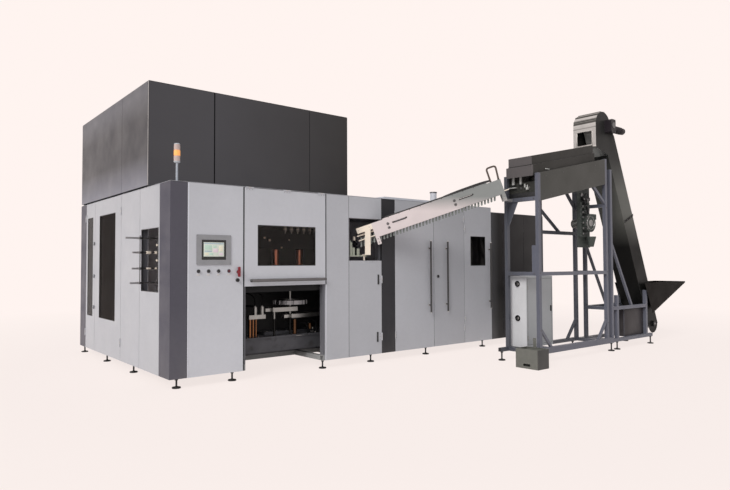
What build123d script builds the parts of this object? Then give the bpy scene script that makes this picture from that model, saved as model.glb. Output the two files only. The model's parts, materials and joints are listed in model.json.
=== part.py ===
from build123d import *
from math import atan2, cos, degrees, radians, sin, sqrt, tan
import os

# Blow moulding machine with its preform sorter, lift and feed chute.
# All lengths are millimetres. While it is modelled, X runs to the right along the
# machine's long front, Y to the rear, Z up, and the zero point is the front left corner
# of the cabinet on the floor. At the end everything moves to the middle of its footprint.

# Sheet metal, tubes and gaps that the whole machine shares
SHEET = 2.0
REVEAL = 7.0
FRAME_TUBE = 60.0
FRAME_WALL = 3.0
FRAME_SETBACK = 25.0
FOLD = FRAME_SETBACK
DOOR_FOLD = FRAME_SETBACK - 0.8
DOOR_GLASS = 6.0
GLASS_LAP = 18.0
RUN_CLEAR = 0.05
SIDE_CLEAR = 0.5

# Main cabinet, lower storey
PANEL_BOTTOM = 100.0
LOWER_TOP = 2200.0
LEFT_DEPTH = 3600.0
RIGHT_DEPTH = 2400.0
CORNER_WIDTH = 189.0
CONTROL_WIDTH = 673.0
LIFT_DOOR_WIDTH = 1133.0
MIDDLE_WIDTH = 369.0
FEED_WIDTH = 559.0
COLUMN_WIDTH = 242.0
LEFT_LEAF_WIDTH = 762.0
RIGHT_LEAF_WIDTH = 661.0
NARROW_WIDTH = 644.0
END_WIDTH = 1408.0
END_TOP_DROP = 70.0
END_COLUMN_WIDTH = 291.0

# Places of the joints between the front panels
X_CONTROL = CORNER_WIDTH
X_LIFT = X_CONTROL + CONTROL_WIDTH
X_MIDDLE = X_LIFT + LIFT_DOOR_WIDTH
X_FEED = X_MIDDLE + MIDDLE_WIDTH
X_COLUMN = X_FEED + FEED_WIDTH
X_LEFT_LEAF = X_COLUMN + COLUMN_WIDTH
X_RIGHT_LEAF = X_LEFT_LEAF + LEFT_LEAF_WIDTH
X_NARROW = X_RIGHT_LEAF + RIGHT_LEAF_WIDTH
X_END = X_NARROW + NARROW_WIDTH
CABINET_LENGTH = X_END + END_WIDTH

# Places of the joints between the left side panels
CORNER_DEPTH = 309.0
OUTFEED_WIDTH = 642.0
PLAIN_WIDTH = 706.0
SIDE_DOOR_A_WIDTH = 1182.0
SIDE_DOOR_B_WIDTH = 464.0
Y_OUTFEED = CORNER_DEPTH
Y_PLAIN = Y_OUTFEED + OUTFEED_WIDTH
Y_DOOR_A = Y_PLAIN + PLAIN_WIDTH
Y_DOOR_B = Y_DOOR_A + SIDE_DOOR_A_WIDTH
Y_REAR_POST = Y_DOOR_B + SIDE_DOOR_B_WIDTH

# Lift door over the service bay
LIFT_BOTTOM = 1054.0
LIFT_TOP_DROP = 8.0
LIFT_WINDOW_INSET_LEFT = 172.0
LIFT_WINDOW_WIDTH = 806.0
LIFT_WINDOW_LOW = 1292.0
LIFT_WINDOW_HIGH = 1768.0
LIFT_HINGE_INSET = 66.0
LIFT_BAR_LENGTH = 1040.0
LIFT_BAR_HEIGHT = 1123.0
LIFT_BAR_RADIUS = 18.0
LIFT_BAR_STANDOFF = 38.0
LIFT_BAR_FROM_EDGE = 24.0
BAY_DEPTH = 650.0
BAY_HEADER_DROP = 72.0

# Bed across the bay: a deep nose in front, a leg down to the cross beam behind
BED_TOP = 418.0
BED_FRONT_Y = 330.0
BED_BOTTOM = 233.0
BED_WALL = 24.0
BED_NOSE = 14.0
BED_STEP_X = 1400.0
BED_STEP_Y = 490.0
BED_STEP_HEIGHT = 38.0

# Blow station shown in the bay and behind the lift door's window
STATION_X = 1713.0
STATION_Y = 390.0
STATION_HALF_WIDTH = 80.0
STATION_PLATE = 52.0
LEFT_PLATE = (1421.0, 1777.0, 718.0)
RIGHT_PLATE = (1688.0, 2250.0, 627.0)
PILLAR_RADIUS = 14.0
PILLAR_INSET = 34.0
SPINDLE_RADIUS = 14.0
HUB_RADIUS = 30.0
WHEEL_RADIUS = 216.0
WHEEL_HEIGHT = 806.0
WHEEL_THICKNESS = 48.0
WHEEL_HUB_HEIGHT = 66.0
WHEEL_POCKETS = 16
POCKET_RADIUS = 13.0
SHELF_Z = 1142.0
SHELF_THICKNESS = 30.0
SMALL_RODS = ((1142.0, 17.0), (1186.0, 12.0), (1226.0, 9.0))
VALVE_BLOCK = (1120.0, 1345.0, 640.0, 690.0)
VALVE_X = (1212.0, 1309.0)
VALVE_RADIUS = 27.0
VALVE_LENGTH = 97.0
BUSHES = ((1782.0, 27.0, 606.0), (2015.0, 34.0, 540.0))
GUIDE_ROD_X = (1616.0, 1983.0)
GUIDE_ROD_Y = 590.0
GUIDE_ROD_RADIUS = 44.0
GUIDE_ROD_TOP = 1500.0
NOZZLE_BEAM_Z = 1806.0
NOZZLE_BEAM = 44.0
NOZZLE_COUNT = 6
NOZZLE_START_X = 1640.0
NOZZLE_PITCH = 94.0
NOZZLE_RADIUS = 19.0
NOZZLE_LENGTH = 78.0
NOZZLE_TIP_RADIUS = 8.0
NOZZLE_TIP_LENGTH = 26.0

# Feed window and the door under it
FEED_WINDOW_LOW = 1356.0
FEED_WINDOW_HIGH = 1908.0

# Windows of the other doors
OUTFEED_WINDOW_INSET = 3.0
OUTFEED_WINDOW_WIDTH = 558.0
OUTFEED_WINDOW_LOW = 1005.0
OUTFEED_WINDOW_HIGH = 1720.0
DOOR_A_WINDOW_INSET = 240.0
DOOR_A_WINDOW_WIDTH = 718.0
DOOR_B_WINDOW_INSET = 107.0
DOOR_B_WINDOW_WIDTH = 270.0
RAIL_RADIUS = 10.0
RAIL_POST = 30.0
RAIL_INNER_END = 330.0
CLAMP_LIP = 6.0
CLAMP_REACH = 24.0
CLAMP_HALF_HEIGHT = 22.0
OUTFEED_RAILS = ((1609.0, 265.0), (1447.0, 190.0), (1268.0, 195.0), (1106.0, 215.0))
SIDE_WINDOW_LOW = 580.0
SIDE_WINDOW_HIGH = 1990.0
NARROW_WINDOW_INSET = 146.0
NARROW_WINDOW_WIDTH = 349.0
NARROW_WINDOW_LOW = 1275.0
NARROW_WINDOW_HIGH = 1732.0

# Long bar handles
HANDLE_LOW = 602.0
HANDLE_HIGH = 1641.0
HANDLE_RADIUS = 13.0
HANDLE_STANDOFF = 42.0
HANDLE_POST_RADIUS = 9.0
HANDLE_POST_INSET = 110.0
HANDLE_FROM_EDGE = 99.0
HANDLE_FROM_EDGE_RIGHT = 255.0
HANDLE_FROM_EDGE_NARROW = 62.0

# Barrel hinges: pin on the frame side, knuckles on the door side
HINGE_RADIUS = 6.0
HINGE_PIN_RADIUS = 3.0
KNUCKLE_LENGTH = 34.0
HINGE_LEAF_WIDTH = 26.0
FEED_LEAF_WIDTH = 92.0
HINGE_LEAF_THICKNESS = 2.5
HINGE_LOW = 329.0
FEED_HINGE_HIGH = 1099.0
TALL_HINGE_HIGH = 1990.0
HINGE_STAGGER = 150.0
TONGUE_HALF = REVEAL * 0.35
SHARED_POST_OFFSET = HINGE_RADIUS + TONGUE_HALF

# Upper enclosure over the blow wheel
UPPER_LENGTH = 2872.0
UPPER_FRONT_Y = 691.0
UPPER_TOP = 3436.0
UPPER_SEAM_1 = 814.0
UPPER_SEAM_2 = 2216.0
UPPER_WIDE_REVEAL = 16.0
UPPER_SIDE_SEAM = 1657.0
SHADOW_GAP = 18.0

# Low cover and stub pipe on the roof of the feed section
COVER_INSET = 170.0
COVER_LENGTH = 1250.0
COVER_FRONT_Y = 420.0
COVER_REAR_Y = 1500.0
COVER_HEIGHT = 90.0
STUB_X_BEFORE_NARROW = 90.0
STUB_Y = 560.0
STUB_RADIUS = 52.0
STUB_HEIGHT = 150.0
STUB_CAP_RADIUS = 58.0
STUB_CAP_HEIGHT = 10.0

# Controls
BUTTON_X = (312.0, 428.0, 545.0, 669.0)
BUTTON_HEIGHT = 1237.0
BUTTON_CAP_RADIUS = 15.0
BUTTON_STEM_RADIUS = 9.0
BUTTON_BEZEL_RADIUS = 20.0
BUTTON_COLLAR = 10.0
BUTTON_HEIGHT_OUT = 16.0
STEM_HOLE_RADIUS = 10.0
STEM_GUIDE_END = 20.0
STEM_LENGTH_IN = 18.0
BUTTON_TRAVEL = 5.0
SCREEN_CENTRE_X = 490.0
SCREEN_CENTRE_Z = 1471.0
SCREEN_WIDTH = 406.0
SCREEN_HEIGHT = 330.0
SCREEN_CORNER = 8.0
DISPLAY_WIDTH = 288.0
DISPLAY_HEIGHT = 220.0
SCREEN_PROUD = 9.0
SWITCH_X = 782.0
SWITCH_Z = 1226.0
LEVER_LENGTH = 114.0
LEVER_WIDTH = 26.0
LEVER_THICKNESS = 20.0
SWITCH_HUB_RADIUS = 17.0
SWITCH_HUB_OUT = 24.0
SWITCH_PLATE_RADIUS = 20.0
SWITCH_PLATE = 8.0
KEY_KNOB_X = 775.0
KEY_KNOB_Z = 1133.0
KEY_KNOB_RADIUS = 19.0
KEY_KNOB_OUT = 22.0
KEY_PLATE_RADIUS = 22.0
KEY_PLATE = 6.0
FINGER_BAR = 12.0
FINGER_BAR_WIDTH = 7.6
LOCK_RADIUS = 22.0
LOCK_PLATE = 9.0
LOCK_OUT = 17.0
LOCK_HEIGHTS = (714.0, 1153.0, 1612.0)
FRONT_LOCK_X = 4012.0
FRONT_LOCK_Z = 1123.0

# Levelling feet
FOOT_PAD_RADIUS = 45.0
FOOT_PAD_HEIGHT = 14.0
FOOT_STEM_RADIUS = 10.0
FOOT_NUT_RADIUS = 17.0
FOOT_NUT_HEIGHT = 12.0

# Tower light
TOWER_X = 147.0
TOWER_Y = 200.0
TOWER_POLE_RADIUS = 12.5
TOWER_POLE_HEIGHT = 241.0
TOWER_LAMP_RADIUS = 34.0
TOWER_TIER = 62.0
TOWER_FLANGE = 10.0
TOWER_GROOVE = 6.0

# Unscrambler frame
SORTER_LEFT = 4335.0
SORTER_RIGHT = 6010.0
SORTER_FRONT = -1510.0
SORTER_BACK = -1010.0
SORTER_TUBE = 50.0
SORTER_WALL = 3.0
BRACE_SIZE = 34.0
GUSSET = (8.0, 160.0, 345.0)
NARROW_BOX = (36.0, 60.0, 351.0)
SORTER_BASE_HIGH = 200.0
SORTER_BASE_LOW = 120.0
SORTER_MID = 1195.0
SORTER_BACK_BEAM = 1790.0
SORTER_CROSS_HIGH = 2190.0
SORTER_MULLION = 5090.0
BASE_REACH_LEFT = 185.0
BASE_REACH_RIGHT = 160.0
TROUGH_RISE = 0.2143
TROUGH_PLATE_LOW = 2130.0
TROUGH_PLATE_HEIGHT = 375.0
TROUGH_PLATE_SHEET = 3.0
TROUGH_LIP = 30.0
HOOD_LEFT = 4276.0
HOOD_RIGHT = 5790.0
HOOD_TOP_AT_LEFT = 2726.0
HOOD_UPPER_TIER = 121.0
HOOD_LOWER_TIER = 140.0
HOOD_STEP = 22.0

# Sorting rollers and kicker wheel
ROLLER_RADIUS = 52.0
ROLLER_JOURNAL_RADIUS = 15.0
ROLLER_NIP = 26.0
ROLLER_LENGTH = 1560.0
ROLLER_HEIGHT_AT_LEFT = 2330.0
KICKER_X = 4470.0
KICKER_LIFT = 145.0
KICKER_RADIUS = 90.0
KICKER_PADDLES = 6
KICKER_SHAFT_RADIUS = 12.0
KICKER_HUB_RADIUS = 38.0
KICKER_HOUSING_RADIUS = 28.0
KICKER_HOUSING = 26.0
KICKER_END_GAP = 6.0
PADDLE_HALF_WIDTH = 30.0
PADDLE_THICKNESS = 8.0

# Blower and air fittings under the upper end of the trough
DRIVE_WIDTH = 400.0
DRIVE_PLATE_Y = -1315.0
DRIVE_PLATE = 8.0
DRIVE_LOW = 1540.0
DRIVE_SHAFT_Z = 1900.0
DRIVE_MOTOR_RADIUS = 62.0
DRIVE_MOTOR_LENGTH = 182.0
SCROLL_RADIUS = 135.0
SCROLL_WIDTH = 100.0
FUNNEL_RADIUS = 75.0
VALVE_BANK = 50.0
VALVE_BANK_LOW = 160.0
VALVE_BANK_HEIGHT = 500.0
FUNNEL_HEIGHT = 150.0
HANGER_INSET = 25.0
HANGER_WIDTH = 30.0
FITTING_COUNT = 6
FITTING_PITCH = 80.0
FITTING_RADIUS = 13.0
FITTING_REACH = 30.0
AIR_CYLINDER_RADIUS = 24.0
AIR_CYLINDER_LENGTH = 130.0
AIR_CYLINDER_OFFSETS = (150.0, 250.0)

# Preform lift
LIFT_WIDTH = 370.0
LIFT_CENTRE_Y = -1275.0
LIFT_SLOPE = 66.1
LIFT_HALF_DEPTH = 150.0
LIFT_SHEET = 3.0
LIFT_REF_X = 6255.0
LIFT_REF_Z = 3236.0
HEAD_X = 6087.0
HEAD_Z = 3384.0
HEAD_RADIUS = 208.0
HEAD_LIP_Z = 3044.0
HEAD_SHAFT_X = 6190.0
TAIL_Z = 310.0
DRUM_RADIUS = 70.0
BELT_THICKNESS = 5.0
CLEAT_HEIGHT = 48.0
CLEAT_PITCH = 240.0
SHAFT_RADIUS = 17.5
SHAFT_END = 34.0
BEARING_RADIUS = 46.0
BEARING_DEPTH = 30.0
SHOULDER_Z = 3257.0
SHAFT_LIP_DROP = 94.0
STRAP_Z = 1930.0
STRAP_WIDTH = 40.0
GEARBOX_DEPTH = 112.0
GEARBOX_HALF_WIDTH = 62.0
GEARBOX_HIGH = 92.0
GEARBOX_LOW = 110.0
MOTOR_DROP = 40.0
MOTOR_RADIUS = 50.0
MOTOR_LENGTH = 268.0
MOTOR_CAP = 42.0
MOTOR_FINS = 7
MOTOR_FIN_RADIUS = 55.0
MOTOR_FIN_PITCH = 28.0
HEAD_WINDOW_HALF_WIDTH = 118.0
HEAD_WINDOW_LOW = 3085.0
HEAD_WINDOW_HIGH = 3290.0
RIB_RADIUS = 9.0
RIB_ANGLES = (80.0, 106.0, 132.0, 158.0)
STAND_X = 6195.0
STAND_END_X = 7245.0
STAND_TAIL_X = 7430.0
STAND_SHORT_X = 6345.0
STAND_TOP = 2720.0
STAND_END_TOP = 870.0
STAND_SHORT_TOP = 820.0
STAND_RAIL_Z = 625.0
CONTROL_BOX_WIDTH = 610.0
CONTROL_BOX_DEPTH = 246.0
HOPPER_WIDTH = 510.0
HOPPER_TOP = 985.0
HOPPER_END_X = 8614.0
HOPPER_LEFT_X = 7163.0
HOPPER_LOW_X = 7412.0
HOPPER_LOW_Z = 494.0
HOPPER_RIM = 24.0
HOPPER_MOUTH = 60.0

# Chute from the sorter down to the feed window
CHUTE_ORIGIN = (2779.5, -127.8, 1673.0)
CHUTE_HEADING = -38.97
CHUTE_SLOPE = 18.85
CHUTE_LENGTH = 1768.0
CHUTE_PLATE_HEIGHT = 200.0
CHUTE_GAP = 84.0
CHUTE_SHEET = 6.0
CHUTE_SLOTS = (160.0, 1095.0)
CHUTE_SLOT = (60.0, 270.0, 118.0, 132.0)
CHUTE_BOLT_HEIGHTS = (70.0, 125.0)
CHUTE_BOLT_HEAD = 9.0
CROSS_BAR = 30.0
CHUTE_BOLT_RADIUS = 13.0
LEG_WIDTH = 51.0
LEG_LENGTH = 98.0
CABLE_BAND = 11.0
CONDUIT_RADIUS = 11.0
CONDUIT_BEND = 55.0
NECK_RAIL_Z = 28.0
RAIL_THICKNESS = 12.0
HOLD_DOWN_HIGH = 108.0
HOLD_DOWN_SIZE = 18.0
RAIL_REACH_LOW = 281.0
RAIL_REACH_HIGH = 70.0
SIDE_RAIL_REACH = 264.0
SIDE_RAIL_HEIGHT = 73.0
FOOT_PLATE_U = -194.0
FOOT_PLATE_WIDTH = 74.0
FOOT_PLATE_LOW = -245.0
FOOT_PLATE_HIGH = 120.0
FOOT_PLATE_LIP = 60.0
FOOT_PIN = (2650.0, 40.0)
FOOT_PIN_RADIUS = 10.0
PREFORM_PITCH = 46.0
PREFORM_RADIUS = 13.0
PREFORM_LENGTH = 104.0
PREFORM_NECK_RADIUS = 18.0
PREFORM_SIDES = 12
NECK_SLOT = 16.0
PREFORM_FIRST = 40.0
PREFORM_LAST = 60.0
NECK_RING = 4.0
NECK_HEIGHT = 24.0

# Cabinet in the sorter's left bay and the bin in front of it
SIDE_BOX = (4420.0, 5020.0, -1253.0, -956.0)
SIDE_BOX_TOP = 1132.0
PORT_RADIUS = 41.0
PORT_HEIGHTS = (563.0, 1029.0)
PORT_RING = 12.0
SIDE_BOX_WALL = 24.0
BIN_WIDTH = 228.0
BIN_LENGTH = 330.0
BIN_HEIGHT = 240.0
BIN_X = 3899.0
BIN_Y = -1787.0
BIN_GRIP = (52.0, 28.0, 60.0)
BIN_HOOK = (20.0, 64.0, 118.0)


def block(x0, x1, y0, y1, z0, z1):
    """Plain rectangular bar or plate between two corners."""
    return Pos((x0 + x1) / 2, (y0 + y1) / 2, (z0 + z1) / 2) * Box(x1 - x0, y1 - y0, z1 - z0)


def rod(radius, start, end):
    """Round bar between two points."""
    line = Vector(*end) - Vector(*start)
    plane = Plane(origin=start, z_dir=line)
    return extrude(plane * Circle(radius), amount=line.length)


def ring(outer, inner, start, end):
    """Round tube between two points."""
    line = Vector(*end) - Vector(*start)
    plane = Plane(origin=start, z_dir=line)
    return extrude(plane * (Circle(outer) - Circle(inner)), amount=line.length)


def tube(start, end, size, wall, deep=None, up=(0, 0, 1)):
    """Rectangular hollow tube along the line between two points on its centre."""
    line = Vector(*end) - Vector(*start)
    side = Vector(*up).cross(line)
    if side.length < 1e-6:
        side = Vector(1, 0, 0)
    plane = Plane(origin=start, x_dir=side, z_dir=line)
    deep = deep or size
    section = Rectangle(size, deep) - Rectangle(size - 2 * wall, deep - 2 * wall)
    return extrude(plane * section, amount=line.length)


def frame_tube(start, end):
    """Square tube of the cabinet's welded frame."""
    return tube(start, end, FRAME_TUBE, FRAME_WALL)


def sorter_tube(start, end):
    """Square tube of the sorter's welded frame."""
    return tube(start, end, SORTER_TUBE, SORTER_WALL)


def tray(width, height, holes=(), depth=FOLD):
    """Folded sheet seen from the front: face in the XZ plane, edges folded back.

    Holes are (low x, high x, low z, high z) in the panel's own coordinates.
    """
    shell = block(0, width, 0, depth, 0, height)
    shell -= block(SHEET, width - SHEET, SHEET, depth + 1, SHEET, height - SHEET)
    for x0, x1, z0, z1 in holes:
        shell -= block(x0, x1, -1, SHEET + 1, z0, z1)
    return shell


def front_panel(x0, x1, z0, z1, holes=(), y=0.0, depth=FOLD):
    """Panel that faces the front, with half a reveal left on each side."""
    gap = REVEAL / 2
    own = [(a - x0 - gap, b - x0 - gap, c - z0 - gap, d - z0 - gap) for a, b, c, d in holes]
    return Pos(x0 + gap, y, z0 + gap) * tray(x1 - x0 - REVEAL, z1 - z0 - REVEAL, own, depth)


def left_panel(y0, y1, z0, z1, holes=(), depth=FOLD):
    """Panel that faces left. Its holes are (low y, high y, low z, high z)."""
    gap = REVEAL / 2
    own = [(y1 - gap - b, y1 - gap - a, c - z0 - gap, d - z0 - gap) for a, b, c, d in holes]
    flat = tray(y1 - y0 - REVEAL, z1 - z0 - REVEAL, own, depth)
    return Pos(0, y1 - gap, z0 + gap) * Rot(0, 0, -90) * flat


def back_panel(x0, x1, z0, z1, y):
    """Panel that faces the rear."""
    gap = REVEAL / 2
    return Pos(x1 - gap, y, z0 + gap) * Rot(0, 0, 180) * tray(x1 - x0 - REVEAL, z1 - z0 - REVEAL)


def right_panel(y0, y1, z0, z1, x):
    """Panel that faces right."""
    gap = REVEAL / 2
    return Pos(x, y0 + gap, z0 + gap) * Rot(0, 0, 90) * tray(y1 - y0 - REVEAL, z1 - z0 - REVEAL)


def foot(x, y, top):
    """Levelling foot: round pad, stem and hexagon lock nut."""
    part = rod(FOOT_PAD_RADIUS, (0, 0, 0), (0, 0, FOOT_PAD_HEIGHT))
    part += rod(FOOT_STEM_RADIUS, (0, 0, FOOT_PAD_HEIGHT), (0, 0, top))
    nut = extrude(RegularPolygon(FOOT_NUT_RADIUS, 6), amount=FOOT_NUT_HEIGHT)
    return Pos(x, y, 0) * (part + Pos(0, 0, top - FOOT_NUT_HEIGHT) * nut)


# Hinges are drawn with their axis along Z, the door to the right (+X) and its face at
# y = HINGE_RADIUS, and then turned to each door's place.
def hinge_door_side(leaf):
    """Two outer knuckles on a leaf that lies on the door's face."""
    bore = HINGE_PIN_RADIUS + RUN_CLEAR
    reach = KNUCKLE_LENGTH * 1.5
    low = ring(HINGE_RADIUS, bore, (0, 0, -reach), (0, 0, -KNUCKLE_LENGTH / 2 - SIDE_CLEAR))
    high = ring(HINGE_RADIUS, bore, (0, 0, KNUCKLE_LENGTH / 2 + SIDE_CLEAR), (0, 0, reach))
    face = HINGE_RADIUS - HINGE_LEAF_THICKNESS
    start = HINGE_RADIUS * 0.62
    leaf_low = block(start, leaf, face, HINGE_RADIUS, -reach, -KNUCKLE_LENGTH / 2 - SIDE_CLEAR)
    leaf_high = block(start, leaf, face, HINGE_RADIUS, KNUCKLE_LENGTH / 2 + SIDE_CLEAR, reach)
    web = block(HINGE_RADIUS + 2, leaf, face, HINGE_RADIUS, -reach, reach)
    return low + high + leaf_low + leaf_high + web


def hinge_frame_side(offset=0.0):
    """Middle knuckle with its pin, on a tongue that passes back to the frame.

    The offset is how far the axis lies from the gap that the tongue passes through.
    """
    reach = KNUCKLE_LENGTH * 1.5
    half = KNUCKLE_LENGTH / 2
    part = rod(HINGE_RADIUS, (0, 0, -half), (0, 0, half))
    part += rod(HINGE_PIN_RADIUS, (0, 0, -reach), (0, 0, reach))
    back = HINGE_RADIUS + FRAME_SETBACK
    part += block(-offset - TONGUE_HALF, -offset + TONGUE_HALF, 0, back, -half, half)
    if offset:
        web = HINGE_RADIUS / 2
        part += block(-offset - TONGUE_HALF, 0, -web, web, -half, half)
    return part


def hinge_place(kind, place, z):
    """Location of a hinge: 'left' and 'right' are front doors, 'near' and 'far' side doors."""
    if kind in ("left", "right"):
        return Pos(place, -HINGE_RADIUS, z)
    return Pos(-HINGE_RADIUS, place, z) * Rot(0, 0, -90)


def door_hinges(kind, place, heights, leaf=HINGE_LEAF_WIDTH):
    """Door halves of a row of hinges."""
    part = hinge_door_side(leaf)
    if kind in ("right", "near"):
        part = mirror(part, Plane.YZ)
    return [hinge_place(kind, place, z) * part for z in heights]


def frame_hinges(kind, place, heights, offset=0.0):
    """Frame halves of a row of hinges."""
    part = hinge_frame_side(offset)
    if kind in ("right", "near"):
        part = mirror(part, Plane.YZ)
    return [hinge_place(kind, place, z) * part for z in heights]


def lift_hinge_place(x):
    """Location of a lift door hinge, whose axis runs along X at the door's top edge."""
    top = LOWER_TOP - LIFT_TOP_DROP / 2
    return Pos(x, -HINGE_RADIUS, top) * Rot(0, 90, 0)


def bar_handle(x, y=0.0):
    """Long round bar on two posts that stand on the door's face."""
    out = y - HANDLE_STANDOFF
    bar = rod(HANDLE_RADIUS, (x, out, HANDLE_LOW), (x, out, HANDLE_HIGH))
    for z in (HANDLE_LOW + HANDLE_POST_INSET, HANDLE_HIGH - HANDLE_POST_INSET):
        bar += rod(HANDLE_POST_RADIUS, (x, y, z), (x, out, z))
    return bar


def pane(x0, x1, z0, z1, y):
    """Window pane behind a panel's hole, lapped over its edge."""
    lap = GLASS_LAP
    return block(x0 - lap, x1 + lap, y, y + DOOR_GLASS, z0 - lap, z1 + lap)


def main_frame():
    """Welded square tube frame of the cabinet, every tube a solid of its own."""
    t = FRAME_TUBE
    h = t / 2
    front = FRAME_SETBACK + h
    left = FRAME_SETBACK + h
    rear_left = LEFT_DEPTH - FRAME_SETBACK - h
    rear_right = RIGHT_DEPTH - FRAME_SETBACK - h
    right = CABINET_LENGTH - FRAME_SETBACK - h
    low = PANEL_BOTTOM + h
    high = LOWER_TOP - h
    end_high = high - END_TOP_DROP
    inner = X_COLUMN + h
    solids = []

    def posts(places, z_top):
        for x, y in places:
            solids.append(frame_tube((x, y, low + h), (x, y, z_top - h)))

    front_posts = [left, X_LIFT, X_MIDDLE, X_FEED, inner, X_LEFT_LEAF, X_NARROW]
    posts([(x, front) for x in front_posts], high)
    posts([(left, y) for y in (Y_OUTFEED + h, Y_PLAIN, Y_DOOR_A, Y_DOOR_B, rear_left)], high)
    posts([(inner, rear_left), (inner, rear_right)], high)
    posts([(X_END, front), (right, front), (right, rear_right)], end_high)

    def along_x(x0, x1, y, z):
        solids.append(frame_tube((x0 - h, y, z), (x1 + h, y, z)))

    def along_y(x, y0, y1, z):
        solids.append(frame_tube((x, y0 + h, z), (x, y1 - h, z)))

    # Bottom ring: the service bay has no beam across its front
    along_x(left, X_LIFT, front, low)
    along_x(X_MIDDLE, right, front, low)
    along_x(left, inner, rear_left, low)
    along_x(inner + t, right, rear_right, low)
    along_y(left, front, rear_left, low)
    along_y(inner, front, rear_left, low)
    along_y(right, front, rear_right, low)
    for x in (X_LIFT, X_MIDDLE, X_FEED):
        along_y(x, front, BAY_DEPTH + t, low)
    along_x(X_LIFT, X_FEED, BAY_DEPTH + t, low)
    # Top ring
    along_x(left, X_END - t, front, high)
    along_x(left, inner, rear_left, high)
    along_y(left, front, rear_left, high)
    along_y(inner, front, rear_left, high)
    along_x(X_END, right, front, end_high)
    along_x(inner + t, right, rear_right, end_high)
    along_y(right, front, rear_right, end_high)
    # Rails over the bay and round the feed window
    bay = LIFT_BOTTOM + h + SHEET
    solids.append(frame_tube((X_LIFT + h, front, bay), (X_MIDDLE - h, front, bay)))
    for z in (FEED_WINDOW_LOW - h, FEED_WINDOW_HIGH + h):
        solids.append(frame_tube((X_FEED + h, front, z), (inner - h, front, z)))
    return solids


def upper_frame():
    """Posts and rings of the upper enclosure, standing on the lower storey's roof."""
    h = FRAME_TUBE / 2
    left = FRAME_SETBACK + h
    right = UPPER_LENGTH - FRAME_SETBACK - h
    front = UPPER_FRONT_Y + FRAME_SETBACK + h
    rear = LEFT_DEPTH - FRAME_SETBACK - h
    low = LOWER_TOP + SHEET
    high = UPPER_TOP - SHEET - h
    solids = []
    for x in (left, UPPER_SEAM_1, UPPER_SEAM_2, right):
        solids.append(frame_tube((x, front, low), (x, front, high - h)))
    for x, y in ((left, UPPER_SIDE_SEAM), (left, rear), (right, rear)):
        solids.append(frame_tube((x, y, low), (x, y, high - h)))
    for y in (front, rear):
        solids.append(frame_tube((left - h, y, high), (right + h, y, high)))
    for x in (left, right):
        solids.append(frame_tube((x, front + h, high), (x, rear - h, high)))
    return solids


def dark_cladding():
    """Folded corner and column covers and the plain panels of the dark end section."""
    top = LOWER_TOP - REVEAL / 2
    low = PANEL_BOTTOM + REVEAL / 2
    gap = REVEAL / 2

    def corner(x0, x1, y0, y1, toward):
        # L-shaped sheet with both free edges folded in
        outer = Polyline(
            (x0, y0),
            (x1, y0),
            (x1, y0 + toward * FOLD),
            (x1 - SHEET, y0 + toward * FOLD),
            (x1 - SHEET, y0 + toward * SHEET),
            (x0 + SHEET, y0 + toward * SHEET),
            (x0 + SHEET, y1 - toward * SHEET),
            (x0 + FOLD, y1 - toward * SHEET),
            (x0 + FOLD, y1),
            (x0, y1),
            close=True,
        )
        return Pos(0, 0, low) * extrude(make_face(outer), amount=top - low, dir=(0, 0, 1))

    end_top = top - END_TOP_DROP + gap
    column = X_END + END_COLUMN_WIDTH
    half = (column + CABINET_LENGTH) / 2
    return [
        corner(0, X_CONTROL - gap, 0, Y_OUTFEED - gap, 1),
        corner(0, X_CONTROL - gap, LEFT_DEPTH, Y_REAR_POST + gap, -1),
        front_panel(X_COLUMN, X_LEFT_LEAF, PANEL_BOTTOM, LOWER_TOP),
        front_panel(X_END, column, PANEL_BOTTOM, end_top),
        front_panel(column, half, PANEL_BOTTOM, end_top),
        front_panel(half, CABINET_LENGTH, PANEL_BOTTOM, end_top),
    ]


def control_panel():
    """Panel that carries the screen, the four buttons, the switch and the key knob."""
    sheet = front_panel(X_CONTROL, X_LIFT, PANEL_BOTTOM, LOWER_TOP)
    x, z = SCREEN_CENTRE_X, SCREEN_CENTRE_Z
    half_x = (SCREEN_WIDTH + DISPLAY_WIDTH) / 4
    half_z = (SCREEN_HEIGHT + DISPLAY_HEIGHT) / 4
    sheet -= block(x - half_x, x + half_x, -1, SHEET + 1, z - half_z, z + half_z)
    places = [(x, BUTTON_HEIGHT) for x in BUTTON_X] + [(SWITCH_X, SWITCH_Z), (KEY_KNOB_X, KEY_KNOB_Z)]
    for x, z in places:
        sheet -= rod(STEM_HOLE_RADIUS, (x, -1, z), (x, SHEET + 1, z))
    return [sheet]


def front_panels():
    """Plain middle panel and the short panel over the feed window."""
    return [
        front_panel(X_MIDDLE, X_FEED, PANEL_BOTTOM, LOWER_TOP),
        front_panel(X_FEED, X_COLUMN, FEED_WINDOW_HIGH, LOWER_TOP),
    ]


def side_panels():
    """Left side panels: one with the open outfeed window and a plain one."""
    y0 = Y_OUTFEED + OUTFEED_WINDOW_INSET + FOLD
    window = (y0, y0 + OUTFEED_WINDOW_WIDTH, OUTFEED_WINDOW_LOW, OUTFEED_WINDOW_HIGH)
    return [
        left_panel(Y_OUTFEED, Y_PLAIN, PANEL_BOTTOM, LOWER_TOP, [window]),
        left_panel(Y_PLAIN, Y_DOOR_A, PANEL_BOTTOM, LOWER_TOP),
    ]


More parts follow.
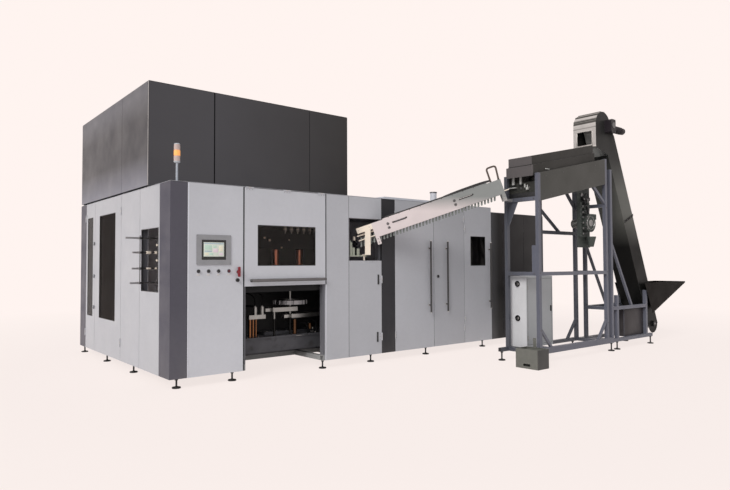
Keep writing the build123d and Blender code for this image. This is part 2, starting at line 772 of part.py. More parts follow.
def rear_panels():
    """Plain panels of the back, of the right end and of the inner step."""
    solids = []
    inner = X_COLUMN + FRAME_TUBE + FRAME_SETBACK
    third = inner / 3
    for i in range(3):
        x0 = CORNER_WIDTH if i == 0 else third * i
        solids.append(back_panel(x0, third * (i + 1), PANEL_BOTTOM, LOWER_TOP, LEFT_DEPTH))
    solids.append(right_panel(RIGHT_DEPTH, LEFT_DEPTH - FOLD, PANEL_BOTTOM, LOWER_TOP, inner))
    step = (CABINET_LENGTH - inner) / 4
    low_top = LOWER_TOP - END_TOP_DROP
    for i in range(4):
        x0 = inner + step * i
        top = low_top if i == 3 else LOWER_TOP
        solids.append(back_panel(x0, x0 + step, PANEL_BOTTOM, min(top, low_top), RIGHT_DEPTH))
    for y0, y1 in ((FOLD, RIGHT_DEPTH / 2), (RIGHT_DEPTH / 2, RIGHT_DEPTH - FOLD)):
        solids.append(right_panel(y0, y1, PANEL_BOTTOM, low_top, CABINET_LENGTH))
    return solids


def roof_panels():
    """Flat roof sheets, the step between them, the low cover and its stub pipe."""
    inner = X_COLUMN + FRAME_TUBE + FRAME_SETBACK
    z = LOWER_TOP
    left_roof = block(0, inner, 0, LEFT_DEPTH, z, z + SHEET)
    right_roof = block(inner, X_END, 0, RIGHT_DEPTH, z, z + SHEET)
    end_z = z - END_TOP_DROP
    end_roof = block(X_END, CABINET_LENGTH, 0, RIGHT_DEPTH, end_z, end_z + SHEET)
    step = block(X_END - SHEET, X_END, FRAME_SETBACK, RIGHT_DEPTH, end_z, z)
    cover_x = X_LEFT_LEAF + COVER_INSET
    top = z + SHEET + COVER_HEIGHT
    cover = block(cover_x, cover_x + COVER_LENGTH, COVER_FRONT_Y, COVER_REAR_Y, z + SHEET, top)
    x, y = X_NARROW - STUB_X_BEFORE_NARROW, STUB_Y
    pipe = rod(STUB_RADIUS, (x, y, top), (x, y, top + STUB_HEIGHT))
    pipe += rod(STUB_CAP_RADIUS, (x, y, top + STUB_HEIGHT), (x, y, top + STUB_HEIGHT + STUB_CAP_HEIGHT))
    return [left_roof, right_roof, end_roof, step, cover, pipe]


def upper_panels():
    """Dark folded panels all round the upper enclosure and its roof."""
    low = LOWER_TOP + SHEET + SHADOW_GAP
    high = UPPER_TOP - SHEET
    gap = REVEAL / 2
    seams = (0, UPPER_SEAM_1, UPPER_SEAM_2, UPPER_LENGTH)
    wide = (UPPER_WIDE_REVEAL - REVEAL) / 2
    fronts = ((0, UPPER_SEAM_1 - wide), (UPPER_SEAM_1 + wide, UPPER_SEAM_2), (UPPER_SEAM_2, UPPER_LENGTH))
    solids = [front_panel(a, b, low, high, y=UPPER_FRONT_Y) for a, b in fronts]
    front = UPPER_FRONT_Y + FOLD
    rear = LEFT_DEPTH - FOLD
    for y0, y1 in ((front, UPPER_SIDE_SEAM), (UPPER_SIDE_SEAM, rear)):
        solids.append(left_panel(y0, y1, low, high))
        solids.append(right_panel(y0, y1, low, high, UPPER_LENGTH))
    for a, b in zip(seams, seams[1:]):
        solids.append(back_panel(a, b, low, high, LEFT_DEPTH))
    solids.append(block(gap, UPPER_LENGTH - gap, UPPER_FRONT_Y + gap, LEFT_DEPTH - gap, high, high + SHEET))
    return solids


def bay_reach():
    """Left and right end of the service bay, which runs on behind the middle panel."""
    h = FRAME_TUBE / 2
    return X_LIFT + h, X_FEED - h


def service_bay():
    """Walls of the service bay and the header plate across its front."""
    low = PANEL_BOTTOM + FRAME_TUBE
    high = NOZZLE_BEAM_Z + NOZZLE_BEAM
    x0, x1 = bay_reach()
    front = FRAME_SETBACK + FRAME_TUBE
    rear = BAY_DEPTH + FRAME_TUBE / 2
    header_x = X_MIDDLE - FRAME_TUBE / 2
    header_high = LIFT_BOTTOM + FRAME_TUBE + SHEET
    return [
        block(x0, x1, rear, rear + SHEET, low, high),
        block(x0 - SHEET, x0, front, rear, low, high),
        block(x1, x1 + SHEET, front, rear, low, high),
        block(x0, header_x, front, front + SHEET, LIFT_BOTTOM - BAY_HEADER_DROP, header_high),
    ]


def machine_bed():
    """Cast bed across the bay: machined nose, raised step, and a leg to the cross beam."""
    x0, x1 = bay_reach()
    y0 = BED_FRONT_Y
    y1 = BAY_DEPTH + FRAME_TUBE / 2
    wall = BED_WALL
    bed = block(x0, x1, y0, y1, BED_BOTTOM, BED_TOP)
    bed -= block(x0 + wall, x1 - wall, y0 + wall, y1 - wall, BED_BOTTOM - 1, BED_TOP - wall)
    bed += block(x0, x1, y0 - BED_NOSE, y0, BED_TOP - wall, BED_TOP)
    bed += block(BED_STEP_X, x1, BED_STEP_Y, y1, BED_TOP, BED_TOP + BED_STEP_HEIGHT)
    bed += block(x0, x1, y1 - wall, y1, PANEL_BOTTOM + FRAME_TUBE, BED_BOTTOM)
    return [bed]


def blow_station():
    """Spindle, plates on pillars, valves on their block, shelf, and the nozzles on a beam."""
    x, y = STATION_X, STATION_Y
    half = STATION_HALF_WIDTH
    seat = WHEEL_HEIGHT - SHEET * 2
    spindle = rod(SPINDLE_RADIUS, (x, y, BED_TOP), (x, y, SHELF_Z))
    solids = [spindle + rod(HUB_RADIUS, (x, y, seat), (x, y, WHEEL_HEIGHT))]
    hole = rod(SPINDLE_RADIUS, (x, y, BED_TOP), (x, y, WHEEL_HEIGHT))
    inset = PILLAR_INSET
    for (x0, x1, z), px in ((LEFT_PLATE, LEFT_PLATE[0] + inset), (RIGHT_PLATE, RIGHT_PLATE[1] - inset)):
        solids.append(block(x0, x1, y - half, y + half, z, z + STATION_PLATE) - hole)
        py = y - half + inset
        solids.append(rod(PILLAR_RADIUS, (px, py, BED_TOP), (px, py, z)))
    x0, x1, z0, z1 = VALVE_BLOCK
    solids.append(block(x0, x1, y - VALVE_RADIUS, y + VALVE_RADIUS, z0, z1))
    for px in VALVE_X:
        solids.append(rod(VALVE_RADIUS, (px, y, z1), (px, y, z1 + VALVE_LENGTH)))
    # Shelf that carries the clamp columns, hidden behind the lift door's foot
    x0, x1 = bay_reach()
    y1 = BAY_DEPTH + FRAME_TUBE / 2
    for z, high in ((SHELF_Z, SHELF_THICKNESS), (NOZZLE_BEAM_Z, NOZZLE_BEAM)):
        solids.append(block(x0, x1, y - half, y1, z, z + high))
    for i in range(NOZZLE_COUNT):
        px = NOZZLE_START_X + i * NOZZLE_PITCH
        low = NOZZLE_BEAM_Z - NOZZLE_LENGTH
        nozzle = rod(NOZZLE_RADIUS, (px, y, low), (px, y, NOZZLE_BEAM_Z))
        nozzle += rod(NOZZLE_TIP_RADIUS, (px, y, low - NOZZLE_TIP_LENGTH), (px, y, low))
        solids.append(nozzle)
    return solids


def guide_rods():
    """Bronze rods and bushes low in the bay and the columns behind the lift door's window."""
    y = STATION_Y
    solids = []
    for x, radius in SMALL_RODS:
        solids.append(rod(radius, (x, y, BED_TOP), (x, y, VALVE_BLOCK[2])))
    for x, radius, top in BUSHES:
        solids.append(rod(radius, (x, y, BED_TOP), (x, y, top)))
    y = GUIDE_ROD_Y
    for x in GUIDE_ROD_X:
        solids.append(rod(GUIDE_ROD_RADIUS, (x, y, SHELF_Z + SHELF_THICKNESS), (x, y, GUIDE_ROD_TOP)))
    return solids


def transfer_wheel():
    """Transfer star wheel with small pockets, turning on the spindle."""
    x, y = STATION_X, STATION_Y
    low = WHEEL_HEIGHT + SIDE_CLEAR
    wheel = rod(WHEEL_RADIUS, (x, y, low), (x, y, low + WHEEL_THICKNESS))
    for i in range(WHEEL_POCKETS):
        angle = radians(i * 360 / WHEEL_POCKETS)
        px = x + WHEEL_RADIUS * cos(angle)
        py = y + WHEEL_RADIUS * sin(angle)
        wheel -= rod(POCKET_RADIUS, (px, py, WHEEL_HEIGHT), (px, py, low + WHEEL_THICKNESS + 1))
    wheel += rod(HUB_RADIUS, (x, y, low), (x, y, WHEEL_HEIGHT + WHEEL_HUB_HEIGHT))
    bore = SPINDLE_RADIUS + RUN_CLEAR
    return [wheel - rod(bore, (x, y, WHEEL_HEIGHT), (x, y, WHEEL_HEIGHT + WHEEL_HUB_HEIGHT + 1))]


def outfeed_rails():
    """Four bottle guide rails that come out through the outfeed window, each in a clamp."""
    y = Y_OUTFEED + OUTFEED_WINDOW_INSET + FOLD + OUTFEED_WINDOW_WIDTH / 2
    x0 = FRAME_SETBACK + FRAME_TUBE
    x1 = x0 + RAIL_POST
    top = OUTFEED_WINDOW_HIGH - RAIL_POST
    solids = [block(x0, x1, y - RAIL_POST * 2, y - RAIL_POST, PANEL_BOTTOM, top)]
    for z, out in OUTFEED_RAILS:
        solids.append(rod(RAIL_RADIUS, (-out, y, z), (RAIL_INNER_END, y, z)))
        low, high = z - CLAMP_HALF_HEIGHT, z + CLAMP_HALF_HEIGHT
        clamp = block(x0 - CLAMP_LIP, x1 + CLAMP_LIP, y - RAIL_POST, y + CLAMP_REACH, low, high)
        solids.append(clamp - rod(RAIL_RADIUS, (0, y, z), (RAIL_INNER_END, y, z)))
    return solids


def lift_door():
    """Folded frame of the lift door with its window cut-out and the door halves of its hinges."""
    x0 = X_LIFT + LIFT_WINDOW_INSET_LEFT
    hole = (x0, x0 + LIFT_WINDOW_WIDTH, LIFT_WINDOW_LOW, LIFT_WINDOW_HIGH)
    top = LOWER_TOP - LIFT_TOP_DROP
    door = front_panel(X_LIFT, X_MIDDLE, LIFT_BOTTOM, top + REVEAL / 2, [hole], 0, DOOR_FOLD)
    half = hinge_door_side(HINGE_LEAF_WIDTH + HINGE_RADIUS)
    for x in lift_hinges():
        door += lift_hinge_place(x) * half
    return [door]


def lift_hinges():
    """Places of the lift door's three hinges along its top edge."""
    inset = LIFT_HINGE_INSET
    return (X_LIFT + inset, (X_LIFT + X_MIDDLE) / 2, X_MIDDLE - inset)


def lift_door_handle():
    """Long bar across the foot of the lift door."""
    x1 = X_MIDDLE - LIFT_BAR_FROM_EDGE
    x0 = x1 - LIFT_BAR_LENGTH
    y = -LIFT_BAR_STANDOFF
    z = LIFT_BAR_HEIGHT
    bar = rod(LIFT_BAR_RADIUS, (x0, y, z), (x1, y, z))
    for x in (x0 + HANDLE_POST_INSET, x1 - HANDLE_POST_INSET):
        bar += rod(HANDLE_POST_RADIUS, (x, y, z), (x, 0, z))
    return [bar]


def feed_door():
    """Door under the feed window with its two broad dark hinges."""
    door = front_panel(X_FEED, X_COLUMN, PANEL_BOTTOM, FEED_WINDOW_LOW, (), 0, DOOR_FOLD)
    for half in door_hinges("right", X_COLUMN, (HINGE_LOW, FEED_HINGE_HIGH), FEED_LEAF_WIDTH):
        door += half
    return [door]


def leaf_door(x0, x1, side, place, stagger=0.0, holes=()):
    """Full height front door with hinges on its left or right edge."""
    door = front_panel(x0, x1, PANEL_BOTTOM, LOWER_TOP, holes, 0, DOOR_FOLD)
    for half in door_hinges(side, place, (HINGE_LOW + stagger, TALL_HINGE_HIGH - stagger)):
        door += half
    return door


def side_door(y0, y1, kind, window):
    """Side door with a tall window and hinges on its near or far edge."""
    door = left_panel(y0, y1, PANEL_BOTTOM, LOWER_TOP, [window], DOOR_FOLD)
    place = y0 if kind == "near" else y1
    for half in door_hinges(kind, place, (HINGE_LOW, TALL_HINGE_HIGH)):
        door += half
    return [door]


def side_window(y0, inset, width):
    """Low and high corner of a side door's window."""
    return (y0 + inset, y0 + inset + width, SIDE_WINDOW_LOW, SIDE_WINDOW_HIGH)


def side_pane(window):
    """Dark pane of a side door."""
    y0, y1, z0, z1 = window
    lap = GLASS_LAP
    return [block(SHEET, SHEET + DOOR_GLASS, y0 - lap, y1 + lap, z0 - lap, z1 + lap)]


def hinge_pins():
    """Frame halves of all hinges, with their pins and tongues."""
    heights = (HINGE_LOW, TALL_HINGE_HIGH)
    solids = frame_hinges("right", X_COLUMN, (HINGE_LOW, FEED_HINGE_HIGH))
    solids += frame_hinges("left", X_LEFT_LEAF, heights)
    offset = SHARED_POST_OFFSET
    solids += frame_hinges("right", X_NARROW - offset, heights, offset)
    staggered = (HINGE_LOW + HINGE_STAGGER, TALL_HINGE_HIGH - HINGE_STAGGER)
    solids += frame_hinges("left", X_NARROW + offset, staggered, offset)
    solids += frame_hinges("near", Y_DOOR_A, heights)
    solids += frame_hinges("far", Y_REAR_POST, heights)
    for x in lift_hinges():
        solids.append(lift_hinge_place(x) * hinge_frame_side())
    return solids


def lock(x, y, z, direction):
    """Round lock escutcheon on a face, with its barrel, standing out along a direction."""
    dx, dy = direction
    middle = (x + dx * LOCK_PLATE, y + dy * LOCK_PLATE, z)
    end = (x + dx * LOCK_OUT, y + dy * LOCK_OUT, z)
    return rod(LOCK_RADIUS, (x, y, z), middle) + rod(LOCK_RADIUS * 0.6, middle, end)


def door_locks():
    """Three locks down the side doors' meeting edge."""
    y = Y_DOOR_B + REVEAL / 2 + LOCK_RADIUS
    return [lock(0, y, z, (-1, 0)) for z in LOCK_HEIGHTS]


def front_lock():
    """Lock of the double doors, on the right leaf."""
    return [lock(FRONT_LOCK_X, 0, FRONT_LOCK_Z, (0, -1))]


def screen_frame():
    """Moulded bezel round the screen, standing proud of the control panel."""
    x, z = SCREEN_CENTRE_X, SCREEN_CENTRE_Z
    w, h = SCREEN_WIDTH / 2, SCREEN_HEIGHT / 2
    body = block(x - w, x + w, -SCREEN_PROUD, 0, z - h, z + h)
    body = fillet(body.edges().filter_by(Axis.Y), SCREEN_CORNER)
    w, h = DISPLAY_WIDTH / 2, DISPLAY_HEIGHT / 2
    return [body - block(x - w, x + w, -SCREEN_PROUD - 1, 1, z - h, z + h)]


def screen_glass():
    """Touch screen set into the bezel."""
    x, z = SCREEN_CENTRE_X, SCREEN_CENTRE_Z
    w, h = DISPLAY_WIDTH / 2, DISPLAY_HEIGHT / 2
    return [block(x - w, x + w, -SCREEN_PROUD + 3, 0, z - h, z + h)]


def button_collars():
    """Fixed collars and stem guides of the buttons, the switch and the key knob."""
    solids = []
    bore = BUTTON_STEM_RADIUS + RUN_CLEAR
    z = BUTTON_HEIGHT
    for x in BUTTON_X:
        solids.append(ring(BUTTON_BEZEL_RADIUS, BUTTON_CAP_RADIUS + 1, (x, -BUTTON_COLLAR, z), (x, 0, z)))
        solids.append(ring(BUTTON_CAP_RADIUS, bore, (x, SHEET, z), (x, STEM_GUIDE_END, z)))
    x, z = SWITCH_X, SWITCH_Z
    solids.append(ring(SWITCH_PLATE_RADIUS, bore, (x, -SWITCH_PLATE, z), (x, 0, z)))
    x, z = KEY_KNOB_X, KEY_KNOB_Z
    solids.append(ring(KEY_PLATE_RADIUS, bore, (x, -KEY_PLATE, z), (x, 0, z)))
    return solids


def push_button(x):
    """Round button cap on its stem, which runs in the guide behind the panel."""
    z = BUTTON_HEIGHT
    back = -BUTTON_TRAVEL - SIDE_CLEAR
    cap = rod(BUTTON_CAP_RADIUS, (x, -BUTTON_HEIGHT_OUT, z), (x, back, z))
    return [cap + rod(BUTTON_STEM_RADIUS, (x, back, z), (x, STEM_LENGTH_IN, z))]


def switch_lever():
    """Red lever of the main switch, on a round hub."""
    x, z = SWITCH_X, SWITCH_Z
    back = -SWITCH_PLATE - SIDE_CLEAR
    out = -SWITCH_HUB_OUT
    hub = rod(SWITCH_HUB_RADIUS, (x, out, z), (x, back, z))
    hub += rod(BUTTON_STEM_RADIUS, (x, back, z), (x, STEM_LENGTH_IN, z))
    half = LEVER_WIDTH / 2
    reach = LEVER_LENGTH / 2
    grip = block(x - half, x + half, out - LEVER_THICKNESS, out, z - reach, z + reach)
    return [hub + fillet(grip.edges().filter_by(Axis.Y), half * 0.9)]


def key_knob():
    """Black round knob with a raised finger bar."""
    x, z = KEY_KNOB_X, KEY_KNOB_Z
    back = -KEY_PLATE - SIDE_CLEAR
    body = rod(KEY_KNOB_RADIUS, (x, -KEY_KNOB_OUT, z), (x, back, z))
    body += rod(BUTTON_STEM_RADIUS, (x, back, z), (x, STEM_LENGTH_IN, z))
    half = FINGER_BAR_WIDTH / 2
    reach = KEY_KNOB_RADIUS * 0.8
    out = -KEY_KNOB_OUT
    return [body + block(x - half, x + half, out - FINGER_BAR, out, z - reach, z + reach)]


def tower_pole():
    """Pole of the tower light with its foot flange."""
    x, y = TOWER_X, TOWER_Y
    low = LOWER_TOP + SHEET
    top = low + TOWER_FLANGE
    flange = rod(TOWER_LAMP_RADIUS, (x, y, low), (x, y, top))
    return [flange + rod(TOWER_POLE_RADIUS, (x, y, top), (x, y, low + TOWER_POLE_HEIGHT))]


def tower_lamp():
    """Three stacked lenses with a cap, each its own moulding."""
    x, y = TOWER_X, TOWER_Y
    z = LOWER_TOP + SHEET + TOWER_POLE_HEIGHT
    solids = []
    for i in range(3):
        low = z + i * TOWER_TIER
        groove = low + TOWER_TIER - TOWER_GROOVE
        body = rod(TOWER_LAMP_RADIUS, (x, y, low), (x, y, groove))
        solids.append(body + rod(TOWER_LAMP_RADIUS - 4, (x, y, groove), (x, y, low + TOWER_TIER)))
    return solids


# Slopes and offsets of the sorter that follow from the sizes at the top
SORTER_HALF = SORTER_TUBE / 2
SLOPE_ANGLE = degrees(atan2(TROUGH_RISE, 1))
POST_LEFT_X = SORTER_LEFT + SORTER_HALF
POST_RIGHT_X = SORTER_RIGHT - SORTER_HALF
LIFT_FRONT_Y = LIFT_CENTRE_Y - LIFT_WIDTH / 2
LIFT_BACK_Y = LIFT_CENTRE_Y + LIFT_WIDTH / 2
STAND_FRONT_Y = LIFT_FRONT_Y - SORTER_HALF
STAND_BACK_Y = LIFT_BACK_Y + SORTER_HALF


def plate_low(x):
    """Height of the trough plates' lower edge."""
    return TROUGH_PLATE_LOW + TROUGH_RISE * (x - POST_LEFT_X)


def plate_high(x):
    """Height of the trough plates' upper edge."""
    return plate_low(x) + TROUGH_PLATE_HEIGHT


def side_plate(points, y0, y1):
    """Flat plate with an outline in the XZ plane, from y0 back to y1."""
    outline = make_face(Polyline(*points, close=True))
    plane = Plane(origin=(0, y0, 0), x_dir=(1, 0, 0), z_dir=(0, -1, 0))
    return extrude(plane * outline, amount=-(y1 - y0))


def sorter_frame():
    """Welded frame of the preform sorter, every tube a solid of its own."""
    t = SORTER_TUBE
    h = SORTER_HALF
    left, right = SORTER_LEFT, SORTER_RIGHT
    front, back = SORTER_FRONT, SORTER_BACK
    solids = []

    def bar(start, end):
        solids.append(sorter_tube(start, end))

    # Base ring: a deep front beam and lower beams on the other sides
    deep = SORTER_BASE_HIGH - SORTER_BASE_LOW
    centre = (SORTER_BASE_HIGH + SORTER_BASE_LOW) / 2
    start, end = (left - h, front, centre), (right + BASE_REACH_RIGHT, front, centre)
    solids.append(tube(start, end, t, SORTER_WALL, deep))
    low = SORTER_BASE_LOW + h
    bar((left - BASE_REACH_LEFT, back, low), (right + h, back, low))
    for x in (left, (SIDE_BOX[0] + SIDE_BOX[1]) / 2, right):
        bar((x, front + h, low), (x, back - h, low))
    # Corner posts
    bar((left, front, SORTER_BASE_HIGH), (left, front, plate_high(left)))
    bar((right, front, SORTER_BASE_HIGH), (right, front, plate_high(right)))
    bar((left, back, low + h), (left, back, plate_high(left)))
    bar((right, back, low + h), (right, back, plate_high(right)))
    # Middle and upper rails
    mid = SORTER_MID - h
    bar((left + h, front, mid), (right - h, front, mid))
    for x in (left, right):
        bar((x, front + h, mid), (x, back - h, mid))
        bar((x, front + h, SORTER_CROSS_HIGH - h), (x, back - h, SORTER_CROSS_HIGH - h))
    mullion = SORTER_MULLION
    beam = SORTER_BACK_BEAM - h
    bar((mullion, back, low + h), (mullion, back, plate_low(mullion - h)))
    bar((mullion + h, back, beam), (right - h, back, beam))
    return solids


def brace(post_x, post_z, beam_x, level, y):
    """Diagonal tube from an upright post to a beam whose face height is level(x)."""
    beam_z = level(beam_x)
    dx, dz = beam_x - post_x, beam_z - post_z
    angle = atan2(abs(dz), abs(dx))
    upright = BRACE_SIZE / 2 / cos(angle)
    flat = BRACE_SIZE / 2 / sin(angle)
    side = flat if dx * dz < 0 else -flat
    high, low = beam_x + side, beam_x - side
    points = [(post_x, post_z - upright), (post_x, post_z + upright)]
    points += [(high, level(high)), (low, level(low))]
    half = BRACE_SIZE / 2
    return side_plate(points, y - half, y + half)


def sorter_braces():
    """Diagonal braces of the sorter's frame."""
    front, back = SORTER_FRONT, SORTER_BACK
    left, right = POST_LEFT_X, POST_RIGHT_X
    mullion = SORTER_MULLION + SORTER_HALF

    def front_base(x):
        return SORTER_BASE_HIGH

    def back_base(x):
        return SORTER_BASE_LOW + SORTER_TUBE

    def back_beam(x):
        return SORTER_BACK_BEAM

    return [
        brace(left, 440, left + 225, front_base, front),
        brace(right, 455, right - 215, front_base, front),
        brace(right, 2200, right - 290, plate_low, front),
        brace(mullion, 2090, mullion + 440, back_beam, back),
        brace(right, 430, right - 220, back_base, back),
        brace(right, 2180, right - 240, plate_low, back),
    ]


def post_fittings():
    """Triangular gusset at the left cross beam and the narrow box behind the front left post."""
    thick, wide, tall = GUSSET
    top = SORTER_CROSS_HIGH - SORTER_TUBE
    gusset = side_plate([(0, 0), (-wide, 0), (0, -tall)], -thick / 2, thick / 2)
    corner = Pos(SORTER_LEFT, SORTER_BACK - SORTER_HALF, top) * Rot(0, 0, 90)
    x, y = SORTER_LEFT - SORTER_HALF, SORTER_FRONT + SORTER_HALF
    width, deep, high = NARROW_BOX
    box = block(x, x + width, y, y + deep, SORTER_MID, SORTER_MID + high)
    return [corner * gusset, box]


def trough_plates():
    """Front and back plates of the sorting trough, with a folded flange at the top."""
    x0, x1 = POST_LEFT_X, POST_RIGHT_X
    solids = []
    t = TROUGH_PLATE_SHEET
    for outer, inward, hood in (
        (SORTER_FRONT - SORTER_HALF, 1, LIFT_FRONT_Y - HOOD_STEP),
        (SORTER_BACK + SORTER_HALF, -1, LIFT_BACK_Y + HOOD_STEP),
    ):
        y0, y1 = sorted((outer, outer + inward * t))
        plate = sloped_box(x0, x1, plate_low(x0), plate_high(x0), y0, y1)
        y0, y1 = sorted((outer, hood))
        plate += sloped_box(x0, x1, plate_high(x0) - t, plate_high(x0), y0, y1)
        y0, y1 = sorted((outer, outer + inward * TROUGH_LIP))
        plate += sloped_box(x0, x1, plate_low(x0), plate_low(x0) + t, y0, y1)
        solids.append(plate)
    return solids


def sloped_box(x0, x1, low, high, y0, y1):
    """Box with upright ends whose floor and top climb with the trough."""
    rise = TROUGH_RISE * (x1 - x0)
    return side_plate([(x0, low), (x1, low + rise), (x1, high + rise), (x0, high)], y0, y1)


def trough_hood():
    """Two-tier folded hood over the rollers, open below and at its upper end."""
    s = SHEET
    top = HOOD_TOP_AT_LEFT
    mid = top - HOOD_UPPER_TIER
    low = mid - HOOD_LOWER_TIER
    x0, x1 = HOOD_LEFT, HOOD_RIGHT
    y0, y1 = LIFT_FRONT_Y, LIFT_BACK_Y
    rise = TROUGH_RISE
    hood = sloped_box(x0, x1, mid, top, y0, y1)
    step = HOOD_STEP
    hood += sloped_box(x0 - step, x1, low - rise * step, mid - rise * step, y0 - step, y1 + step)
    hood -= sloped_box(x0 + s, x1 + 10, mid - 10, top - s, y0 + s, y1 - s)
    inner_x = x0 - step + s
    shift = rise * (inner_x - x0)
    hood -= sloped_box(inner_x, x1 + 10, low - 20 + shift, mid - s + shift, y0 - step + s, y1 + step - s)
    return [hood]


# Place of the rollers: local x climbs along the trough, local z stands square to it
ROLLER_START_X = POST_LEFT_X + 30.0
ROLLER_FRAME = Pos(ROLLER_START_X, LIFT_CENTRE_Y, ROLLER_HEIGHT_AT_LEFT) * Rot(0, -SLOPE_ANGLE, 0)
ROLLER_OFFSET = ROLLER_RADIUS + ROLLER_NIP / 2
BEARING_PLATE = 12.0
BEARING_HEIGHT = 75.0


def roller(side):
    """Sorting roller with a journal at each end."""
    y = side * ROLLER_OFFSET
    length = ROLLER_LENGTH
    gap = BEARING_PLATE + 2
    body = rod(ROLLER_RADIUS, (gap, y, 0), (length - gap, y, 0))
    body += rod(ROLLER_JOURNAL_RADIUS, (-6, y, 0), (length + 6, y, 0))
    return [ROLLER_FRAME * body]


def roller_bearings():
    """End plates that carry the rollers, on brackets to the trough plates."""
    solids = []
    inner_front = SORTER_FRONT - SORTER_HALF + TROUGH_PLATE_SHEET - LIFT_CENTRE_Y
    inner_back = SORTER_BACK + SORTER_HALF - TROUGH_PLATE_SHEET - LIFT_CENTRE_Y
    for x in (0, ROLLER_LENGTH - BEARING_PLATE):
        plate = block(x, x + BEARING_PLATE, inner_front, inner_back, -BEARING_HEIGHT, BEARING_HEIGHT)
        for side in (-1, 1):
            y = side * ROLLER_OFFSET
            radius = ROLLER_JOURNAL_RADIUS + RUN_CLEAR
            plate -= rod(radius, (x - 5, y, 0), (x + BEARING_PLATE + 5, y, 0))
        solids.append(ROLLER_FRAME * plate)
    return solids


def kicker_height():
    """Height of the kicker wheel's shaft."""
    return ROLLER_HEIGHT_AT_LEFT + TROUGH_RISE * (KICKER_X - ROLLER_START_X) + KICKER_LIFT


def kicker_wheel():
    """Paddle wheel that knocks badly lying preforms back up the rollers."""
    x, z = KICKER_X, kicker_height()
    y = LIFT_CENTRE_Y
    y0 = SORTER_FRONT - SORTER_HALF + TROUGH_PLATE_SHEET + KICKER_END_GAP
    y1 = SORTER_BACK + SORTER_HALF - TROUGH_PLATE_SHEET - KICKER_END_GAP
    wheel = rod(KICKER_SHAFT_RADIUS, (x, y0, z), (x, y1, z))
    wheel += rod(KICKER_HUB_RADIUS, (x, y - PADDLE_HALF_WIDTH, z), (x, y + PADDLE_HALF_WIDTH, z))
    half = PADDLE_THICKNESS / 2
    paddle = block(0, KICKER_RADIUS, -PADDLE_HALF_WIDTH, PADDLE_HALF_WIDTH, -half, half)
    for i in range(KICKER_PADDLES):
        wheel += Pos(x, y, z) * Rot(0, i * 360 / KICKER_PADDLES, 0) * paddle
    return [wheel]


def kicker_bearings():
    """Flange bearings of the kicker's shaft on the trough plates."""
    x, z = KICKER_X, kicker_height()
    front = SORTER_FRONT - SORTER_HALF + TROUGH_PLATE_SHEET
    back = SORTER_BACK + SORTER_HALF - TROUGH_PLATE_SHEET
    solids = []
    for wall, inward in ((front, 1), (back, -1)):
        housing = rod(KICKER_HOUSING_RADIUS, (x, wall, z), (x, wall + inward * KICKER_HOUSING, z))
        start = wall + inward * KICKER_END_GAP / 2
        housing -= rod(KICKER_SHAFT_RADIUS + RUN_CLEAR, (x, start, z), (x, wall + inward * 60, z))
        solids.append(housing)
    return solids


def drive_unit():
    """Blower, motor, valve bank and catch funnel hung under the trough's upper end."""
    x0 = POST_RIGHT_X - DRIVE_WIDTH
    x1 = x0 + DRIVE_WIDTH * 0.83
    y0, y1 = DRIVE_PLATE_Y, DRIVE_PLATE_Y + DRIVE_PLATE
    top = plate_low(x0)
    hang = side_plate([(x0, DRIVE_LOW), (x1, DRIVE_LOW), (x1, top + 40), (x0, top + 40)], y0, y1)
    front = SORTER_FRONT - SORTER_HALF + TROUGH_PLATE_SHEET
    back = SORTER_BACK + SORTER_HALF - TROUGH_PLATE_SHEET
    hanger = x0 + HANGER_INSET
    hang += block(hanger, hanger + HANGER_WIDTH, front, back, top + 16, top + 16 + HANGER_WIDTH)
    x, z = x0 + DRIVE_WIDTH * 0.48, DRIVE_SHAFT_Z
    scroll = rod(SCROLL_RADIUS, (x, y0 - SCROLL_WIDTH, z), (x, y0, z))
    high = z + SCROLL_RADIUS
    scroll += block(x, x + SCROLL_RADIUS + 20, y0 - SCROLL_WIDTH, y0, high - 80, high)
    motor = rod(DRIVE_MOTOR_RADIUS, (x, y1, z), (x, y1 + DRIVE_MOTOR_LENGTH, z))
    cone = Cone(FUNNEL_RADIUS / 2, FUNNEL_RADIUS, FUNNEL_HEIGHT)
    funnel = Pos(x + 40, y0 - FUNNEL_RADIUS, DRIVE_LOW + FUNNEL_HEIGHT / 2 + 10) * cone
    low = DRIVE_LOW + VALVE_BANK_LOW
    valves = block(x0, x0 + VALVE_BANK, y0 - VALVE_BANK, y0, low, low + VALVE_BANK_HEIGHT)
    return [hang, scroll, motor, funnel, valves] + drive_fittings(x0, y0)


def drive_fittings(x0, y):
    """Row of small air fittings on the valve bank and two air cylinders."""
    solids = []
    middle = x0 + VALVE_BANK / 2
    for i in range(FITTING_COUNT):
        z = DRIVE_LOW + VALVE_BANK_LOW + FITTING_PITCH * (i + 0.5)
        face = y - VALVE_BANK
        solids.append(rod(FITTING_RADIUS, (middle, face - FITTING_REACH, z), (middle, face, z)))
    low = DRIVE_SHAFT_Z + SCROLL_RADIUS + 45
    at = y - AIR_CYLINDER_RADIUS
    for offset in AIR_CYLINDER_OFFSETS:
        x = x0 + offset
        solids.append(rod(AIR_CYLINDER_RADIUS, (x, at, low), (x, at, low + AIR_CYLINDER_LENGTH)))
    return solids


# The preform lift leans back to the left; its centre line runs through this point
def lift_x(z, offset=0.0):
    """X of a line parallel to the lift's centre line, offset square to it to the right."""
    return LIFT_REF_X + (LIFT_REF_Z - z) / tan(radians(LIFT_SLOPE)) + offset / sin(radians(LIFT_SLOPE))


def head_height():
    """Height of the head shaft, where the lift's centre line passes it."""
    return LIFT_REF_Z + (LIFT_REF_X - HEAD_SHAFT_X) * tan(radians(LIFT_SLOPE))


